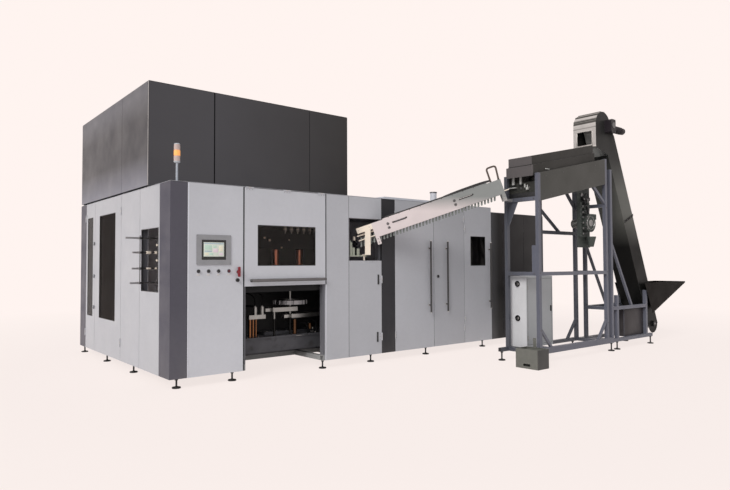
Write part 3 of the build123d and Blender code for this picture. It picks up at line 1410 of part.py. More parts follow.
def lift_outline():
    """Outline of the lift's side plates: tail, leaning shaft and round head."""
    d = LIFT_HALF_DEPTH
    left = HEAD_X - HEAD_RADIUS
    shoulder = SHOULDER_Z
    lip = HEAD_LIP_Z - SHAFT_LIP_DROP
    tail_x = lift_x(TAIL_Z)
    points = [
        (left, HEAD_LIP_Z),
        (left, HEAD_Z),
        (HEAD_X + HEAD_RADIUS, HEAD_Z),
        (lift_x(shoulder, d), shoulder),
        (lift_x(TAIL_Z, d), TAIL_Z),
        (tail_x, TAIL_Z),
        (lift_x(TAIL_Z, -d), TAIL_Z),
        (lift_x(lip, -d), lip),
    ]
    face = make_face(Polyline(*points, close=True))
    face += Pos(HEAD_X, HEAD_Z) * Circle(HEAD_RADIUS)
    face += Pos(tail_x, TAIL_Z) * Circle(d)
    return face


def leaning_strip(low, high, near, far):
    """Outline of a strip along the lift between two heights and two offsets from its centre."""
    corners = ((low, near), (low, far), (high, far), (high, near))
    return [(lift_x(z, offset), z) for z, offset in corners]


def lift_plane(y):
    """Plane of constant y whose own x and y run along X and Z, drawn towards the front."""
    return Plane(origin=(0, y, 0), x_dir=(1, 0, 0), z_dir=(0, -1, 0))


def lift_casing():
    """Side plates, underside and upper cover of the lift, and its joint strap."""
    solids = []
    t = LIFT_SHEET
    d = LIFT_HALF_DEPTH
    face = lift_outline()
    radius = SHAFT_RADIUS + RUN_CLEAR
    for y in (LIFT_FRONT_Y + t, LIFT_BACK_Y):
        plate = extrude(lift_plane(y) * face, amount=t)
        for x, z in ((HEAD_SHAFT_X, head_height()), (lift_x(TAIL_Z), TAIL_Z)):
            plate -= rod(radius, (x, y - t - 1, z), (x, y + 1, z))
        solids.append(plate)
    y0, y1 = LIFT_FRONT_Y + t, LIFT_BACK_Y - t
    under = leaning_strip(TAIL_Z + 40, HEAD_LIP_Z - SHAFT_LIP_DROP, -d, -d + t)
    solids.append(side_plate(under, y0, y1))
    over = leaning_strip(HOPPER_TOP + 30, SHOULDER_Z, d - t, d)
    solids.append(side_plate(over, y0, y1))
    # Strap across the joint of the two casing halves
    z = STRAP_Z
    x0 = lift_x(z, -d)
    dx, dz = 2 * d * sin(radians(LIFT_SLOPE)), 2 * d * cos(radians(LIFT_SLOPE))
    wide = STRAP_WIDTH
    strap = [(x0, z), (x0 + dx, z + dz), (x0 + dx, z + dz + wide), (x0, z + wide)]
    solids.append(side_plate(strap, LIFT_FRONT_Y - 2 * t, LIFT_FRONT_Y))
    return solids


def belt_path(radius):
    """Racetrack outline round both drums at a radius."""
    z0, z1 = TAIL_Z, head_height()
    tail = Vector(lift_x(z0), z0)
    head = Vector(HEAD_SHAFT_X, z1)
    length = (head - tail).length
    middle = (head + tail) * 0.5
    angle = degrees(atan2(head.Y - tail.Y, head.X - tail.X))
    return Pos(middle.X, middle.Y) * Rot(0, 0, angle) * SlotCenterToCenter(length, 2 * radius)


def lift_belt():
    """Endless belt with upright cleats at an even pitch."""
    inner = DRUM_RADIUS + 0.3
    outer = inner + BELT_THICKNESS
    half = LIFT_WIDTH / 2 - 24
    y = LIFT_CENTRE_Y + half
    section = belt_path(outer) - belt_path(inner)
    z0, z1 = TAIL_Z, head_height()
    run = (z1 - z0) / sin(radians(LIFT_SLOPE))
    count = int(run // CLEAT_PITCH)
    tail = Vector(lift_x(z0), z0)
    along = Vector(-cos(radians(LIFT_SLOPE)), sin(radians(LIFT_SLOPE)))
    for i in range(count):
        for side in (-1, 1):
            at = tail + along * (CLEAT_PITCH * (i + 0.5))
            cleat = Pos(side * (outer + CLEAT_HEIGHT / 2 - 1), 0) * Rectangle(CLEAT_HEIGHT + 2, 4)
            section += Pos(at.X, at.Y) * Rot(0, 0, LIFT_SLOPE - 270) * cleat
    return [extrude(lift_plane(y) * section, amount=2 * half)]


def drum(x, z, front_reach):
    """Belt drum on its shaft, which reaches through both side plates."""
    half = LIFT_WIDTH / 2 - 20
    y = LIFT_CENTRE_Y
    body = rod(DRUM_RADIUS, (x, y - half, z), (x, y + half, z))
    shaft = rod(SHAFT_RADIUS, (x, LIFT_FRONT_Y - front_reach, z), (x, LIFT_BACK_Y + SHAFT_END, z))
    return [body + shaft]


def shaft_bearings():
    """Flange bearings of the lift's two shafts on the casing."""
    radius = SHAFT_RADIUS + RUN_CLEAR
    deep = BEARING_DEPTH
    back, front = LIFT_BACK_Y, LIFT_FRONT_Y
    solids = []
    for x, z in ((HEAD_SHAFT_X, head_height()), (lift_x(TAIL_Z), TAIL_Z)):
        solids.append(ring(BEARING_RADIUS, radius, (x, back, z), (x, back + deep, z)))
    x, z = lift_x(TAIL_Z), TAIL_Z
    solids.append(ring(BEARING_RADIUS, radius, (x, front - deep, z), (x, front, z)))
    return solids


def head_cover():
    """Bent cover over the lift's head with pressed ridges and a window."""
    t = SHEET
    left = HEAD_X - HEAD_RADIUS
    right = HEAD_X + HEAD_RADIUS
    shoulder = SHOULDER_Z
    end_x = lift_x(shoulder, LIFT_HALF_DEPTH)
    outer = Pos(HEAD_X, HEAD_Z) * Circle(HEAD_RADIUS + t)
    outer += make_face(Polyline(
        (left - t, HEAD_LIP_Z),
        (left - t, HEAD_Z),
        (right + t, HEAD_Z),
        (end_x + t, shoulder),
        (end_x, shoulder),
        (HEAD_X, HEAD_Z - HEAD_RADIUS / 2),
        (left, HEAD_LIP_Z),
        close=True,
    ))
    inner = lift_outline() + make_face(Polyline(
        (left, HEAD_LIP_Z - 5),
        (left, HEAD_Z),
        (right, HEAD_Z),
        (end_x, shoulder),
        (HEAD_X, HEAD_LIP_Z - 5),
        close=True,
    ))
    cover = extrude(lift_plane(LIFT_BACK_Y) * outer, amount=LIFT_WIDTH)
    for turn in RIB_ANGLES:
        x = HEAD_X + (HEAD_RADIUS + t) * cos(radians(turn))
        z = HEAD_Z + (HEAD_RADIUS + t) * sin(radians(turn))
        cover += rod(RIB_RADIUS, (x, LIFT_FRONT_Y, z), (x, LIFT_BACK_Y, z))
    cover -= extrude(lift_plane(LIFT_BACK_Y + 1) * inner, amount=LIFT_WIDTH + 2)
    y = LIFT_CENTRE_Y
    half = HEAD_WINDOW_HALF_WIDTH
    return [cover - block(left - 9, left + 9, y - half, y + half, HEAD_WINDOW_LOW, HEAD_WINDOW_HIGH)]


def head_gearmotor():
    """Worm gearbox on the head shaft with its motor square to it."""
    x, z = HEAD_SHAFT_X, head_height()
    y0, y1 = LIFT_FRONT_Y - GEARBOX_DEPTH, LIFT_FRONT_Y
    half = GEARBOX_HALF_WIDTH
    box = block(x - half, x + half, y0, y1, z - GEARBOX_LOW, z + GEARBOX_HIGH)
    box = fillet(box.edges().filter_by(Axis.Y), half / 3)
    box -= rod(SHAFT_RADIUS + RUN_CLEAR, (x, y0 - 1, z), (x, y1 + 1, z))
    axis_z = z - MOTOR_DROP
    y = (y0 + y1) / 2
    start = x + half
    end = start + MOTOR_LENGTH
    motor = rod(MOTOR_RADIUS, (start, y, axis_z), (end, y, axis_z))
    motor += rod(MOTOR_RADIUS * 0.86, (end, y, axis_z), (end + MOTOR_CAP, y, axis_z))
    for i in range(MOTOR_FINS):
        fin = start + 48 + i * MOTOR_FIN_PITCH
        motor += rod(MOTOR_FIN_RADIUS, (fin, y, axis_z), (fin + 8, y, axis_z))
    return [box, motor]


def lift_stand():
    """Tube stand under the lift with its posts, rails, braces and cross ties."""
    h = SORTER_HALF
    solids = []
    base = SORTER_BASE_LOW + h
    rail = STAND_RAIL_Z
    front, back = STAND_FRONT_Y, STAND_BACK_Y

    def rail_face(x):
        return rail + h

    for y, start in ((front, SORTER_RIGHT + BASE_REACH_RIGHT), (back, SORTER_RIGHT + h)):
        solids.append(sorter_tube((start, y, base), (STAND_TAIL_X, y, base)))
        solids.append(sorter_tube((STAND_X, y, base + h), (STAND_X, y, STAND_TOP)))
        solids.append(sorter_tube((STAND_END_X, y, base + h), (STAND_END_X, y, STAND_END_TOP)))
        solids.append(sorter_tube((STAND_X + h, y, rail), (STAND_END_X - h, y, rail)))
        solids.append(brace(STAND_X + h, 1600, STAND_X + 600, rail_face, y))
    x = STAND_SHORT_X
    solids.append(sorter_tube((x, front, base + h), (x, front, rail - h)))
    solids.append(sorter_tube((x, front, rail + h), (x, front, STAND_SHORT_TOP)))
    solids.append(sorter_tube((STAND_X, front + h, rail), (STAND_X, back - h, rail)))
    for x in (STAND_X, STAND_END_X):
        solids.append(sorter_tube((x, front + h, base), (x, back - h, base)))
    return solids


def control_box():
    """Closed electrical box between the stand's posts."""
    z0 = SORTER_BASE_LOW + SORTER_TUBE
    z1 = STAND_RAIL_Z - SORTER_HALF
    x1 = STAND_END_X - SORTER_HALF
    y0 = STAND_FRONT_Y + SORTER_HALF
    return [block(x1 - CONTROL_BOX_WIDTH, x1, y0, y0 + CONTROL_BOX_DEPTH, z0, z1)]


def hopper():
    """Wedge-shaped sheet hopper, its low end clamped round the lift's casing."""
    t = LIFT_SHEET
    y0 = LIFT_CENTRE_Y - HOPPER_WIDTH / 2
    y1 = LIFT_CENTRE_Y + HOPPER_WIDTH / 2
    top = HOPPER_TOP
    rim = top - HOPPER_RIM
    end = HOPPER_END_X
    points = [(HOPPER_LEFT_X, top), (end, top), (end, rim), (HOPPER_LOW_X, HOPPER_LOW_Z)]
    solid = side_plate(points, y0, y0 + t) + side_plate(points, y1 - t, y1)
    slope = (rim - HOPPER_LOW_Z) / (end - HOPPER_LOW_X)
    floor_x = lift_x(HOPPER_LOW_Z + HOPPER_MOUTH, LIFT_HALF_DEPTH) + 1
    floor_z = HOPPER_LOW_Z + slope * (floor_x - HOPPER_LOW_X)
    floor = [(floor_x, floor_z), (end, rim), (end, rim + t), (floor_x, floor_z + t)]
    solid += side_plate(floor, y0, y1)
    solid += block(end - t, end, y0, y1, rim, top)
    # Closing strips between the hopper's walls and the narrower casing
    strip = leaning_strip(floor_z, top, LIFT_HALF_DEPTH - t, LIFT_HALF_DEPTH)
    solid += side_plate(strip, y0, LIFT_FRONT_Y)
    solid += side_plate(strip, LIFT_BACK_Y, y1)
    return [solid]


def side_cabinet():
    """Pale cabinet in the sorter's left bay with its two round ports."""
    x0, x1, y0, y1 = SIDE_BOX
    z0 = SORTER_BASE_LOW + SORTER_TUBE
    cabinet = block(x0, x1, y0, y1, z0, SIDE_BOX_TOP)
    wall = SIDE_BOX_WALL
    hollow = block(x0 + wall, x1 - wall, y0 + wall, y1 - wall, z0 - 1, SIDE_BOX_TOP - wall)
    y = (y0 + y1) / 2 - 10
    body = cabinet - hollow
    rings = []
    inner = PORT_RADIUS - PORT_RING
    for z in PORT_HEIGHTS:
        body -= rod(inner, (x0 - 1, y, z), (x0 + wall + 1, y, z))
        rings.append(ring(PORT_RADIUS, inner, (x0 - PORT_RING, y, z), (x0, y, z)))
    return [body], rings


def scrap_bin():
    """Open steel bin with a grip slot and a hook tongue."""
    x0, y0 = BIN_X, BIN_Y
    x1, y1 = x0 + BIN_WIDTH, y0 + BIN_LENGTH
    t = SHEET
    box = block(x0, x1, y0, y1, 0, BIN_HEIGHT)
    box -= block(x0 + t, x1 - t, y0 + t, y1 - t, t, BIN_HEIGHT + 1)
    middle = (y0 + y1) / 2
    half, low, high = BIN_GRIP
    box -= block(x0 - 1, x0 + t + 1, middle - half, middle + half, low, high)
    near, far, tall = BIN_HOOK
    box += block(x1 - t, x1, middle + near, middle + far, BIN_HEIGHT - 1, BIN_HEIGHT + tall)
    return [box]


# Chute: local x climbs along it, local y runs to the rear, local z stands square to it
CHUTE_FRAME = Pos(*CHUTE_ORIGIN) * Rot(0, 0, CHUTE_HEADING) * Rot(0, -CHUTE_SLOPE, 0)
CHUTE_LEVEL = Pos(*CHUTE_ORIGIN) * Rot(0, 0, CHUTE_HEADING)
CHUTE_FAR = CHUTE_SHEET + CHUTE_GAP
CHUTE_MIDDLE = CHUTE_SHEET + CHUTE_GAP / 2


def chute_plates():
    """Side plates with a leg at each end, bolts, cross bars, cable band and the arm."""
    t = CHUTE_SHEET
    start, end, high = -LEG_WIDTH, CHUTE_LENGTH, CHUTE_PLATE_HEIGHT
    solids = []
    for y in (0, CHUTE_FAR):
        plate = block(start, end, y, y + t, 0, high)
        plate += block(start, 0, y, y + t, -LEG_LENGTH, 0)
        plate += block(end - LEG_WIDTH, end, y, y + t, -LEG_LENGTH, 0)
        for x in CHUTE_SLOTS:
            x0, x1, z0, z1 = CHUTE_SLOT
            plate -= block(x + x0, x + x1, y - 1, y + t + 1, z0, z1)
        solids.append(plate)
    for x in CHUTE_SLOTS:
        for z in CHUTE_BOLT_HEIGHTS:
            solids.append(rod(CHUTE_BOLT_RADIUS, (x, -CHUTE_BOLT_HEAD, z), (x, 0, z)))
    low = HOLD_DOWN_HIGH
    for x in (0, CHUTE_LENGTH / 2, CHUTE_LENGTH - 2 * CROSS_BAR):
        solids.append(block(x, x + CROSS_BAR, t, CHUTE_FAR, low, low + CROSS_BAR))
    solids.append(block(110, end - 190, 4, t + 26, high, high + CABLE_BAND))
    return [CHUTE_FRAME * s for s in solids] + [chute_arm()]


def chute_arm():
    """Square arm from the rear plate's upper leg to the sorter's left cross beam."""
    half = BRACE_SIZE / 2
    leg = (CHUTE_FRAME * Pos(CHUTE_LENGTH, CHUTE_FAR + CHUTE_SHEET / 2, 0)).position
    z = SORTER_CROSS_HIGH - SORTER_HALF
    arm = block(leg.X - 150, SORTER_LEFT - SORTER_HALF, leg.Y - half, leg.Y + half, z - half, z + half)
    return arm - CHUTE_FRAME * block(-CHUTE_LENGTH, CHUTE_LENGTH, -500, 500, -500, 500)


def chute_rails():
    """White side rails, the two neck rails, the hold-down bar and the foot plate."""
    slot = NECK_SLOT
    x1 = CHUTE_LENGTH + RAIL_REACH_HIGH
    low, high = NECK_RAIL_Z, NECK_RAIL_Z + RAIL_THICKNESS
    x0, middle, top = -RAIL_REACH_LOW, CHUTE_MIDDLE, HOLD_DOWN_HIGH
    half = HOLD_DOWN_SIZE / 2
    solids = [
        block(x0, x1, CHUTE_SHEET, middle - slot, low, high),
        block(x0, x1, middle + slot, CHUTE_FAR, low, high),
        block(x0, CHUTE_LENGTH, middle - half, middle + half, top - HOLD_DOWN_SIZE, top),
    ]
    reach = SIDE_RAIL_REACH
    top = CHUTE_PLATE_HEIGHT
    for y0 in (0, CHUTE_FAR):
        solids.append(block(-reach, -LEG_WIDTH, y0, y0 + CHUTE_SHEET, top - SIDE_RAIL_HEIGHT, top))
    cross = block(-reach + 4, -reach + 24, CHUTE_SHEET, CHUTE_FAR, top - 30, top)
    solids = [CHUTE_FRAME * s for s in solids + [cross]]
    # Upright plate with a lip at its foot, hung on the front side rail
    u, w = FOOT_PLATE_U, FOOT_PLATE_WIDTH
    plate = block(u, u + w, -CHUTE_SHEET, 0, FOOT_PLATE_LOW, FOOT_PLATE_HIGH)
    plate += block(u - w / 2, u + w, 0, FOOT_PLATE_LIP, FOOT_PLATE_LOW, FOOT_PLATE_LOW + CHUTE_SHEET)
    plate += block(u - w / 2, u, -CHUTE_SHEET, 0, FOOT_PLATE_LOW, FOOT_PLATE_LOW + CHUTE_SHEET)
    solids.append(CHUTE_LEVEL * plate)
    # Short pin from the rail of the feed window up to the lip
    x, y = FOOT_PIN
    lip = CHUTE_ORIGIN[2] + FOOT_PLATE_LOW
    return solids + [rod(FOOT_PIN_RADIUS, (x, y, FEED_WINDOW_LOW), (x, y, lip))]


def preform(x):
    """Preform hanging upright from the rails by its neck ring."""
    at = (CHUTE_FRAME * Pos(x, CHUTE_MIDDLE, NECK_RAIL_Z + RAIL_THICKNESS)).position
    reach = sqrt(PREFORM_NECK_RADIUS ** 2 - NECK_SLOT ** 2)
    z = at.Z + tan(radians(CHUTE_SLOPE)) * reach
    low = z - PREFORM_LENGTH
    body = RegularPolygon(PREFORM_RADIUS, PREFORM_SIDES)
    neck = RegularPolygon(PREFORM_NECK_RADIUS, PREFORM_SIDES)
    tip = RegularPolygon(PREFORM_RADIUS * 0.6, PREFORM_SIDES)
    shape = Pos(0, 0, low + PREFORM_RADIUS) * extrude(body, amount=z + NECK_HEIGHT - low - PREFORM_RADIUS)
    shape += Pos(0, 0, z) * extrude(neck, amount=NECK_RING)
    shape += loft([Pos(0, 0, low) * tip, Pos(0, 0, low + PREFORM_RADIUS) * body])
    return Pos(at.X, at.Y, 0) * shape


def preforms():
    """The row of preforms in the chute, down to the feed window."""
    first = PREFORM_FIRST - RAIL_REACH_LOW
    count = int((CHUTE_LENGTH - PREFORM_LAST - first) // PREFORM_PITCH)
    return [preform(first + i * PREFORM_PITCH) for i in range(count)]


def conduit():
    """Stiff conduit arched over the chute's high end, standing on the plate's top edge."""
    y = CONDUIT_RADIUS + 4
    high = CHUTE_PLATE_HEIGHT
    end = CHUTE_LENGTH
    points = [(end - 130, y, high), (end - 130, y, high + 190), (end, y, high + 190), (end - 20, y, high)]
    path = FilletPolyline(*[(CHUTE_FRAME * Pos(*p)).position for p in points], radius=CONDUIT_BEND)
    start = Plane(origin=path @ 0, z_dir=path % 0)
    arch = sweep(start * Circle(CONDUIT_RADIUS), path=path)
    return [arch - CHUTE_FRAME * block(end - 200, end + 50, -50, 100, 0, high)]


def levelling_feet():
    """All levelling feet of the cabinet, the sorter and the lift's stand."""
    h = FRAME_TUBE / 2 + FRAME_SETBACK
    front, rear_left, rear_right = h, LEFT_DEPTH - h, RIGHT_DEPTH - h
    inner = X_COLUMN + FRAME_TUBE / 2
    cabinet = [(98, front), (742, front), (X_MIDDLE - 12, front), (X_FEED + 403, front)]
    cabinet += [(3800, front), (X_NARROW + 466, front), (5800, front), (CABINET_LENGTH - h, front)]
    cabinet += [(h, y) for y in (1300, 2400, rear_left)]
    cabinet += [(1500, rear_left), (inner, rear_left), (4500, rear_right), (CABINET_LENGTH - h, rear_right)]
    solids = [foot(x, y, PANEL_BOTTOM) for x, y in cabinet]
    low = SORTER_BASE_LOW
    sorter = [(SORTER_LEFT - 145, SORTER_BACK), (5900, SORTER_BACK), (SORTER_LEFT, SORTER_FRONT)]
    sorter += [(SORTER_RIGHT + 120, SORTER_FRONT), (STAND_SHORT_X, STAND_FRONT_Y)]
    sorter += [(STAND_TAIL_X - 30, STAND_FRONT_Y), (STAND_TAIL_X - 30, STAND_BACK_Y)]
    solids += [foot(x, y, low) for x, y in sorter]
    return solids


def cabinet_nodes():
    """Nodes of the main cabinet and its doors."""
    nodes = {}
    nodes["main_frame"] = main_frame() + upper_frame()
    nodes["levelling_feet"] = levelling_feet()
    nodes["dark_cladding"] = dark_cladding()
    nodes["control_panel"] = control_panel()
    nodes["front_panels"] = front_panels()
    nodes["side_panels"] = side_panels()
    nodes["rear_and_roof_panels"] = rear_panels() + roof_panels()
    nodes["upper_panels"] = upper_panels()
    nodes["service_bay_walls"] = service_bay()
    nodes["machine_bed"] = machine_bed()
    nodes["blow_station"] = blow_station()
    nodes["guide_rods"] = guide_rods()
    nodes["transfer_wheel"] = transfer_wheel()
    nodes["outfeed_rails"] = outfeed_rails()
    nodes["hinge_pins"] = hinge_pins()
    nodes["tower_light"] = tower_pole() + tower_lamp()
    nodes["control_bezels"] = screen_frame() + button_collars()
    nodes["screen_glass"] = screen_glass()
    for i, x in enumerate(BUTTON_X):
        nodes["push_button_" + str(i + 1)] = push_button(x)
    nodes["switch_lever"] = switch_lever()
    nodes["key_knob"] = key_knob()
    nodes["lift_door"] = lift_door()
    lift_x0 = X_LIFT + LIFT_WINDOW_INSET_LEFT
    glass = pane(lift_x0, lift_x0 + LIFT_WINDOW_WIDTH, LIFT_WINDOW_LOW, LIFT_WINDOW_HIGH, SHEET)
    nodes["lift_door_glass"] = [glass]
    nodes["lift_door_handle"] = lift_door_handle()
    nodes["feed_door"] = feed_door()
    nodes["left_leaf_door"] = [leaf_door(X_LEFT_LEAF, X_RIGHT_LEAF, "left", X_LEFT_LEAF)]
    nodes["left_leaf_handle"] = [bar_handle(X_RIGHT_LEAF - HANDLE_FROM_EDGE)]
    place = X_NARROW - SHARED_POST_OFFSET
    nodes["right_leaf_door"] = [leaf_door(X_RIGHT_LEAF, X_NARROW, "right", place)] + front_lock()
    nodes["right_leaf_handle"] = [bar_handle(X_RIGHT_LEAF + HANDLE_FROM_EDGE_RIGHT)]
    x0 = X_NARROW + NARROW_WINDOW_INSET
    window = (x0, x0 + NARROW_WINDOW_WIDTH, NARROW_WINDOW_LOW, NARROW_WINDOW_HIGH)
    place = X_NARROW + SHARED_POST_OFFSET
    nodes["narrow_door"] = [leaf_door(X_NARROW, X_END, "left", place, HINGE_STAGGER, [window])]
    nodes["narrow_door_glass"] = [pane(*window, SHEET)]
    nodes["narrow_door_handle"] = [bar_handle(X_END - HANDLE_FROM_EDGE_NARROW)]
    window_a = side_window(Y_DOOR_A, DOOR_A_WINDOW_INSET, DOOR_A_WINDOW_WIDTH)
    window_b = side_window(Y_DOOR_B, DOOR_B_WINDOW_INSET, DOOR_B_WINDOW_WIDTH)
    nodes["side_door_a"] = side_door(Y_DOOR_A, Y_DOOR_B, "near", window_a)
    nodes["side_door_a_glass"] = side_pane(window_a)
    nodes["side_door_b"] = side_door(Y_DOOR_B, Y_REAR_POST, "far", window_b) + door_locks()
    nodes["side_door_b_glass"] = side_pane(window_b)
    return nodes


def sorter_nodes():
    """Nodes of the preform sorter, the lift and the chute."""
    nodes = {}
    cabinet, ports = side_cabinet()
    nodes["sorter_frame"] = sorter_frame() + sorter_braces() + post_fittings()
    nodes["trough_plates"] = trough_plates() + roller_bearings() + kicker_bearings()
    nodes["trough_hood"] = trough_hood()
    nodes["sorting_roller_front"] = roller(-1)
    nodes["sorting_roller_back"] = roller(1)
    nodes["kicker_wheel"] = kicker_wheel()
    nodes["drive_unit"] = drive_unit()
    nodes["lift_casing"] = lift_casing() + shaft_bearings()
    nodes["lift_belt"] = lift_belt()
    nodes["head_drum"] = drum(HEAD_SHAFT_X, head_height(), GEARBOX_DEPTH + 6)
    nodes["tail_drum"] = drum(lift_x(TAIL_Z), TAIL_Z, SHAFT_END)
    nodes["head_cover"] = head_cover()
    nodes["head_gearmotor"] = head_gearmotor()
    nodes["lift_stand"] = lift_stand() + control_box()
    nodes["hopper"] = hopper()
    nodes["side_cabinet"] = cabinet + ports
    nodes["scrap_bin"] = scrap_bin()
    nodes["chute_plates"] = chute_plates()
    nodes["chute_rails"] = chute_rails()
    nodes["preforms"] = preforms()
    nodes["chute_conduit"] = conduit()
    return nodes


def main():
    nodes = cabinet_nodes()
    nodes.update(sorter_nodes())
    solids = {name: [s for part in parts for s in part.solids()] for name, parts in nodes.items()}
    box = Compound([s for group in solids.values() for s in group]).bounding_box()
    shift = Pos(-(box.min.X + box.max.X) / 2, -(box.min.Y + box.max.Y) / 2, -box.min.Z)
    print("moved by", [round(v, 3) for v in shift.position])
    os.makedirs("parts", exist_ok=True)
    for name, group in solids.items():
        moved = [shift * s for s in group]
        export_step(Compound(moved), "parts/" + name + ".step")


main()
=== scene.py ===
import json
from itertools import product
from math import atan2, cos, pi, radians, sin, tan

import bmesh
import bpy
from mathutils import Matrix, Vector


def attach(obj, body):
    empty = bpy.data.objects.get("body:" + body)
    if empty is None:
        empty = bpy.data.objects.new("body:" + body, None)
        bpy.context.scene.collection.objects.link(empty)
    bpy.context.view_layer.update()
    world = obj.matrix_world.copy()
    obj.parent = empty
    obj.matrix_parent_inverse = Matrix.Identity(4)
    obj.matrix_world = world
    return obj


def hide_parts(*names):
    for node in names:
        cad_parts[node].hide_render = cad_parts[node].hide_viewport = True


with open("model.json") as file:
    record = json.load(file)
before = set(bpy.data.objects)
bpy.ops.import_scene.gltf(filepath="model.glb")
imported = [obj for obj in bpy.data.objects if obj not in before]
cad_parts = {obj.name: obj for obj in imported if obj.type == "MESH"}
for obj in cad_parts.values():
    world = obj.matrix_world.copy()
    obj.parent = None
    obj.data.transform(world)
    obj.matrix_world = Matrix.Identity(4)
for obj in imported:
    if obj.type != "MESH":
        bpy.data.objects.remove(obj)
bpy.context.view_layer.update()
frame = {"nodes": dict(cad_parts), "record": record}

MM = 0.001
SHIFT_X = -4174.5
SHIFT_Y = -906.5

# Camera as solved from the photograph, in metres of the row frame
EYE = Vector((-6.5305, -7.0755, 1.310))
LENS = 29.48
SENSOR = 36.0
YAW = radians(38.967)
PITCH = radians(1.809)
ROLL = radians(-0.223)

# Light and surroundings
BACKGROUND = (1.0, 0.905, 0.871, 1.0)
AMBIENT = (0.93, 0.96, 1.0, 1.0)
AMBIENT_LEVEL = 0.46
KEY_COLOUR = (1.0, 0.985, 0.965)
KEY_LEVEL = 1.75
KEY_SPREAD = radians(28)
KEY_FROM = Vector((-0.78, -0.32, 0.56))
FLOOR_COLOUR = (0.86, 0.79, 0.765, 1)
FLOOR_REACH = 60.0
FLOOR_NEAR, FLOOR_FAR = 5.5, 12.0
FLOOR_GLOW = 0.84


def put(name, data):
    """New object of the scene that shows the data."""
    thing = bpy.data.objects.new(name, data)
    bpy.context.scene.collection.objects.link(thing)
    return thing


def each(make, *rows):
    """Call a maker once for every row of values."""
    for row in rows:
        make(*row)


def make_camera():
    """Camera with the photograph's place, direction and field of view."""
    ahead = Vector((sin(YAW) * cos(PITCH), cos(YAW) * cos(PITCH), sin(PITCH)))
    flat = Vector((cos(YAW), -sin(YAW), 0))
    up = flat.cross(ahead)
    right = flat * cos(ROLL) + up * sin(ROLL)
    up = up * cos(ROLL) - flat * sin(ROLL)
    data = bpy.data.cameras.new("photo_camera")
    data.lens = LENS
    data.sensor_width = SENSOR
    data.sensor_fit = "HORIZONTAL"
    data.clip_end = 200
    camera = put("photo_camera", data)
    turn = Matrix((right, up, -ahead)).transposed().to_4x4()
    camera.matrix_world = Matrix.Translation(EYE) @ turn
    bpy.context.scene.camera = camera


def add(tree, kind, *values, **named):
    """New shader node. Lower case names are its settings, the rest its inputs: values or sockets."""
    node = tree.nodes.new(kind)
    inputs = dict(enumerate(values))
    for key, value in named.items():
        if key[0].islower():
            setattr(node, key, value)
        else:
            inputs[key.replace("_", " ")] = value
    for key, value in inputs.items():
        if isinstance(value, bpy.types.NodeSocket):
            tree.links.new(value, node.inputs[key])
        else:
            node.inputs[key].default_value = value
    return node


def seen_rays(tree):
    """1 for camera, glossy and transmission rays, else 0."""
    rays = add(tree, "ShaderNodeLightPath").outputs
    first = add(tree, "ShaderNodeMath", rays["Is Camera Ray"], rays["Is Glossy Ray"], operation="MAXIMUM")
    both = add(tree, "ShaderNodeMath", first.outputs[0], rays["Is Transmission Ray"], operation="MAXIMUM")
    return both.outputs[0]


def make_world():
    """Plain pale surroundings that light the machine at a lower level than they show."""
    world = bpy.data.worlds.new("studio")
    bpy.context.scene.world = world
    world.use_nodes = True
    tree = world.node_tree
    tree.nodes.clear()
    shown = add(tree, "ShaderNodeBackground", Color=BACKGROUND, Strength=1.0)
    light = add(tree, "ShaderNodeBackground", Color=AMBIENT, Strength=AMBIENT_LEVEL)
    mix = add(tree, "ShaderNodeMixShader", seen_rays(tree), light.outputs[0], shown.outputs[0])
    add(tree, "ShaderNodeOutputWorld", mix.outputs[0])


def make_floor():
    """Pale floor that keeps the machine's shadow and fades into the surroundings."""
    mesh = bpy.data.meshes.new("studio_floor")
    corners = [(x * FLOOR_REACH, y * FLOOR_REACH, 0) for x, y in ((-1, -1), (1, -1), (1, 1), (-1, 1))]
    mesh.from_pydata(corners, [], [(0, 1, 2, 3)])
    floor = put("studio_floor", mesh)
    mat = bpy.data.materials.new("studio_floor")
    mat.use_nodes = True
    tree = mat.node_tree
    tree.nodes.clear()
    place = add(tree, "ShaderNodeNewGeometry").outputs["Position"]
    away = add(tree, "ShaderNodeVectorMath", place, operation="LENGTH").outputs["Value"]
    fade = add(tree, "ShaderNodeMapRange", Value=away, From_Min=FLOOR_NEAR, From_Max=FLOOR_FAR, To_Min=FLOOR_GLOW)
    both = add(tree, "ShaderNodeMath", fade.outputs[0], seen_rays(tree), operation="MULTIPLY")
    real = add(tree, "ShaderNodeBsdfDiffuse", Color=FLOOR_COLOUR)
    pale = add(tree, "ShaderNodeEmission", Color=BACKGROUND, Strength=1.0)
    mix = add(tree, "ShaderNodeMixShader", both.outputs[0], real.outputs[0], pale.outputs[0])
    add(tree, "ShaderNodeOutputMaterial", mix.outputs[0])
    mesh.materials.append(mat)


def make_lights():
    """One large soft light from the left, as on the photograph."""
    data = bpy.data.lights.new("key", "SUN")
    data.energy = KEY_LEVEL
    data.angle = KEY_SPREAD
    data.color = KEY_COLOUR
    put("key", data).rotation_euler = KEY_FROM.to_track_quat("Z", "Y").to_euler()


# Materials, by name; the levels below are the same for every look
LOOKS = {}
BLOTCH_LOW, BLOTCH_HIGH = 0.3, 0.7
EDGE_RADIUS = 0.004
EDGE_AMOUNT = 0.6
DUST_TOP = 900
PEEL_DEPTH = 0.00002
DRAWN_SCALE, DRAWN_DEPTH = 260.0, 0.00003


def rgba(colour):
    """Colour with full alpha; a single number stands for a grey."""
    return (*colour, 1.0) if isinstance(colour, tuple) else (colour, colour, colour, 1.0)


